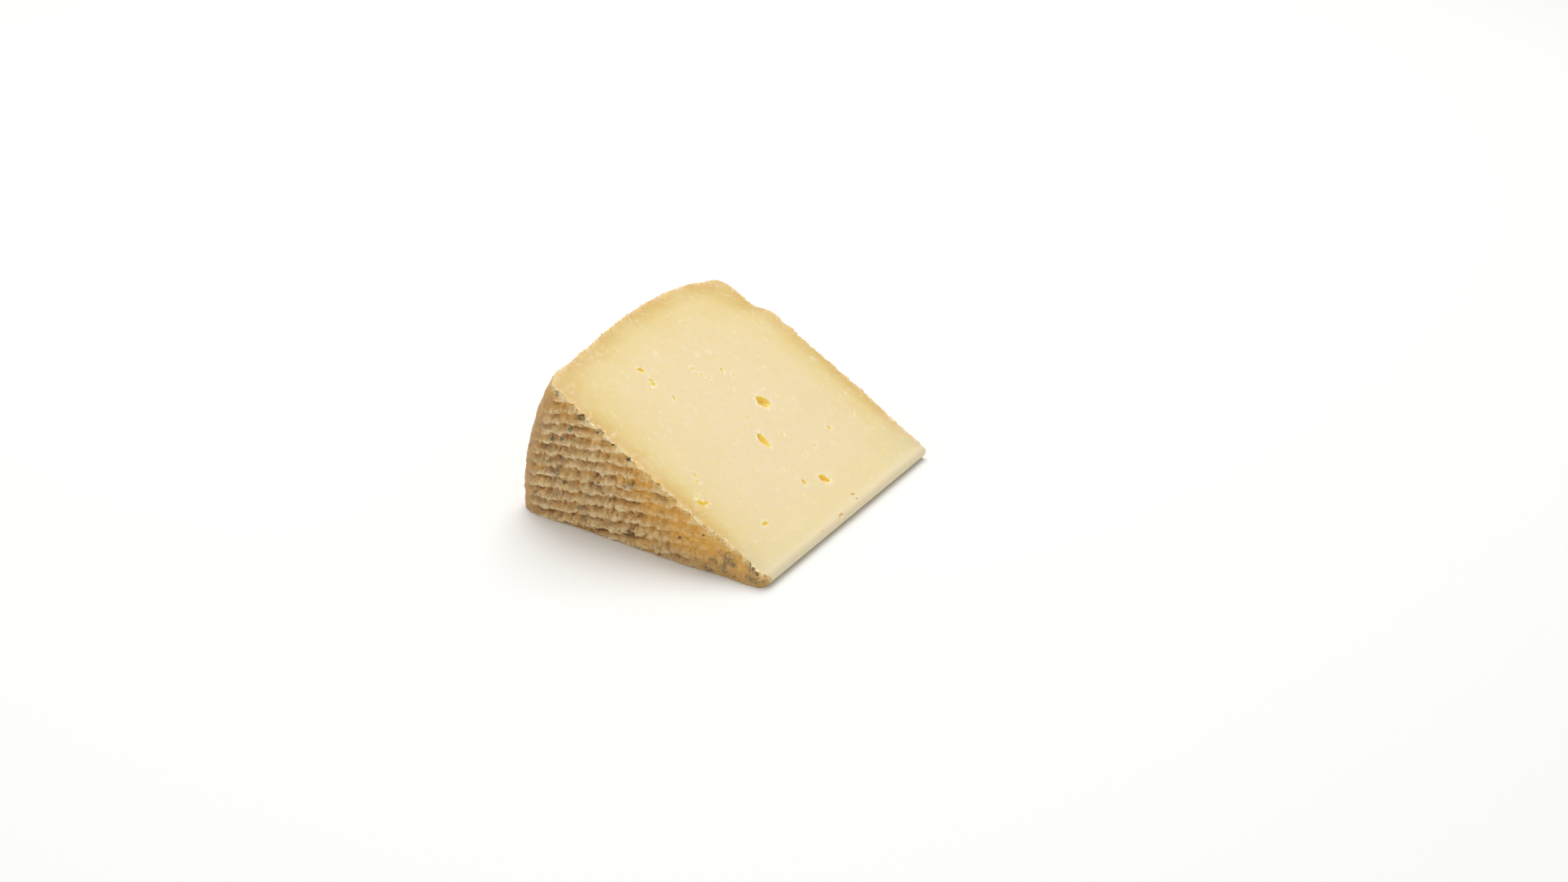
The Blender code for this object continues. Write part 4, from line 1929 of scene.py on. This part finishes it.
@dataclass(frozen=True)
class Studio:
    """The camera, the pale floor and the soft light."""

    position: tuple[float, float, float] = (0.31738, -0.45780, 0.30738)
    azimuth: float = math.radians(32.459)
    elevation: float = math.radians(27.711)
    focal_pixels: float = 2400.0
    picture_width: float = 2048.0
    sensor: float = 36.0

    def camera(self) -> None:
        """Place the camera as the photograph was taken."""
        data = bpy.data.cameras.new("camera")
        data.sensor_width = self.sensor
        data.lens = self.focal_pixels / self.picture_width * self.sensor
        data.clip_start = 0.01
        data.clip_end = 20.0
        camera = add_object("camera", data)
        sin_a, cos_a = math.sin(self.azimuth), math.cos(self.azimuth)
        sin_e, cos_e = math.sin(self.elevation), math.cos(self.elevation)
        back = Vector((sin_a * cos_e, -cos_a * cos_e, sin_e))
        right = Vector((cos_a, sin_a, 0.0))
        up = back.cross(right)
        turn = Matrix((right, up, back)).transposed()
        camera.matrix_world = Matrix.Translation(self.position) @ turn.to_4x4()
        bpy.context.scene.camera = camera

    def floor(self) -> bpy.types.Object:
        """Return the floor that the wedge lies on.

        Returns:
            The floor's object.
        """
        shape = bmesh.new()
        bmesh.ops.create_grid(shape, x_segments=1, y_segments=1, size=6.0)
        mesh = bpy.data.meshes.new("floor")
        shape.to_mesh(mesh)
        shape.free()
        mesh.transform(Matrix.Translation((0.0, 0.0, -0.0001)))
        mesh.materials.append(FloorFinish().build())
        return add_object("floor", mesh)

    def lamp(self, name: str, place: Sequence[float], size: float, power: float) -> None:
        """Add a soft square lamp that faces the wedge.

        Args:
            name: Its name.
            place: Where it hangs, in metres.
            size: Its side, in metres.
            power: Its power, in watts.
        """
        data = bpy.data.lights.new(name, "AREA")
        data.shape = "SQUARE"
        data.size = size
        data.energy = power
        lamp = add_object(name, data)
        lamp.location = place
        lamp.rotation_euler = Vector(place).to_track_quat("Z", "Y").to_euler()

    def light(self) -> None:
        """Light the scene softly from above, with a weak fill from all round."""
        scene = bpy.context.scene
        scene.view_settings.view_transform = "Standard"
        world = bpy.data.worlds.new("room")
        world.use_nodes = True
        graph = Graph(world.node_tree)
        world.node_tree.nodes.clear()
        glow = graph.node("ShaderNodeBackground", {}, {"Color": (1.0, 0.99, 0.97, 1.0), "Strength": 0.62})
        graph.node("ShaderNodeOutputWorld", {}, {"Surface": glow.outputs[0]})
        scene.world = world
        self.lamp("overhead", (-0.35, 0.45, 1.5), 1.3, 22.0)


def dress_wedge(wedge: bpy.types.Object, maker: CheeseWedge) -> None:
    """Give the wedge its attributes and finishes and bring it to its place in the frame.

    Args:
        wedge: The wedge's object.
        maker: What built it.
    """
    mesh = wedge.data
    flat = np.zeros(len(mesh.vertices) * 3, dtype=np.float32)
    mesh.vertices.foreach_get("co", flat)
    points = flat.reshape(-1, 3).astype(float)
    for name, values in maker.attributes(points).items():
        attribute = mesh.attributes.new(name, "FLOAT", "POINT")
        attribute.data.foreach_set("value", values.astype(np.float32))
    mesh.vertices.foreach_set("co", to_frame(points).astype(np.float32).ravel())
    finishes = {
        Skin.RIND: RindFinish().build(),
        Skin.PASTE: PasteFinish().build(),
        Skin.OPENING: OpeningFinish().build(),
        Skin.TORN: TornFinish().build(),
    }
    for skin, material in finishes.items():
        mesh.materials[skin.value] = material
    mesh.shade_smooth()
    mesh.set_sharp_from_angle(angle=math.radians(48.0))
    mesh.update()


def main() -> None:
    """Build the wedge, its crumbs and the studio round the frame."""
    logging.basicConfig(level=logging.INFO, format="%(name)s: %(message)s")
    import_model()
    maker = CheeseWedge()
    wedge = maker.build()
    dress_wedge(wedge, maker)
    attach(wedge, BODY)
    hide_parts(NODE)
    LOG.info("wedge: %d vertices, %d faces", len(wedge.data.vertices), len(wedge.data.polygons))
    crumbs = Crumbs(maker, wedge.data.materials[Skin.TORN.value]).build()
    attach(crumbs, BODY)
    LOG.info("crumbs: %d faces", len(crumbs.data.polygons))
    studio = Studio()
    studio.camera()
    studio.floor()
    studio.light()


if __name__ == "__main__":
    main()
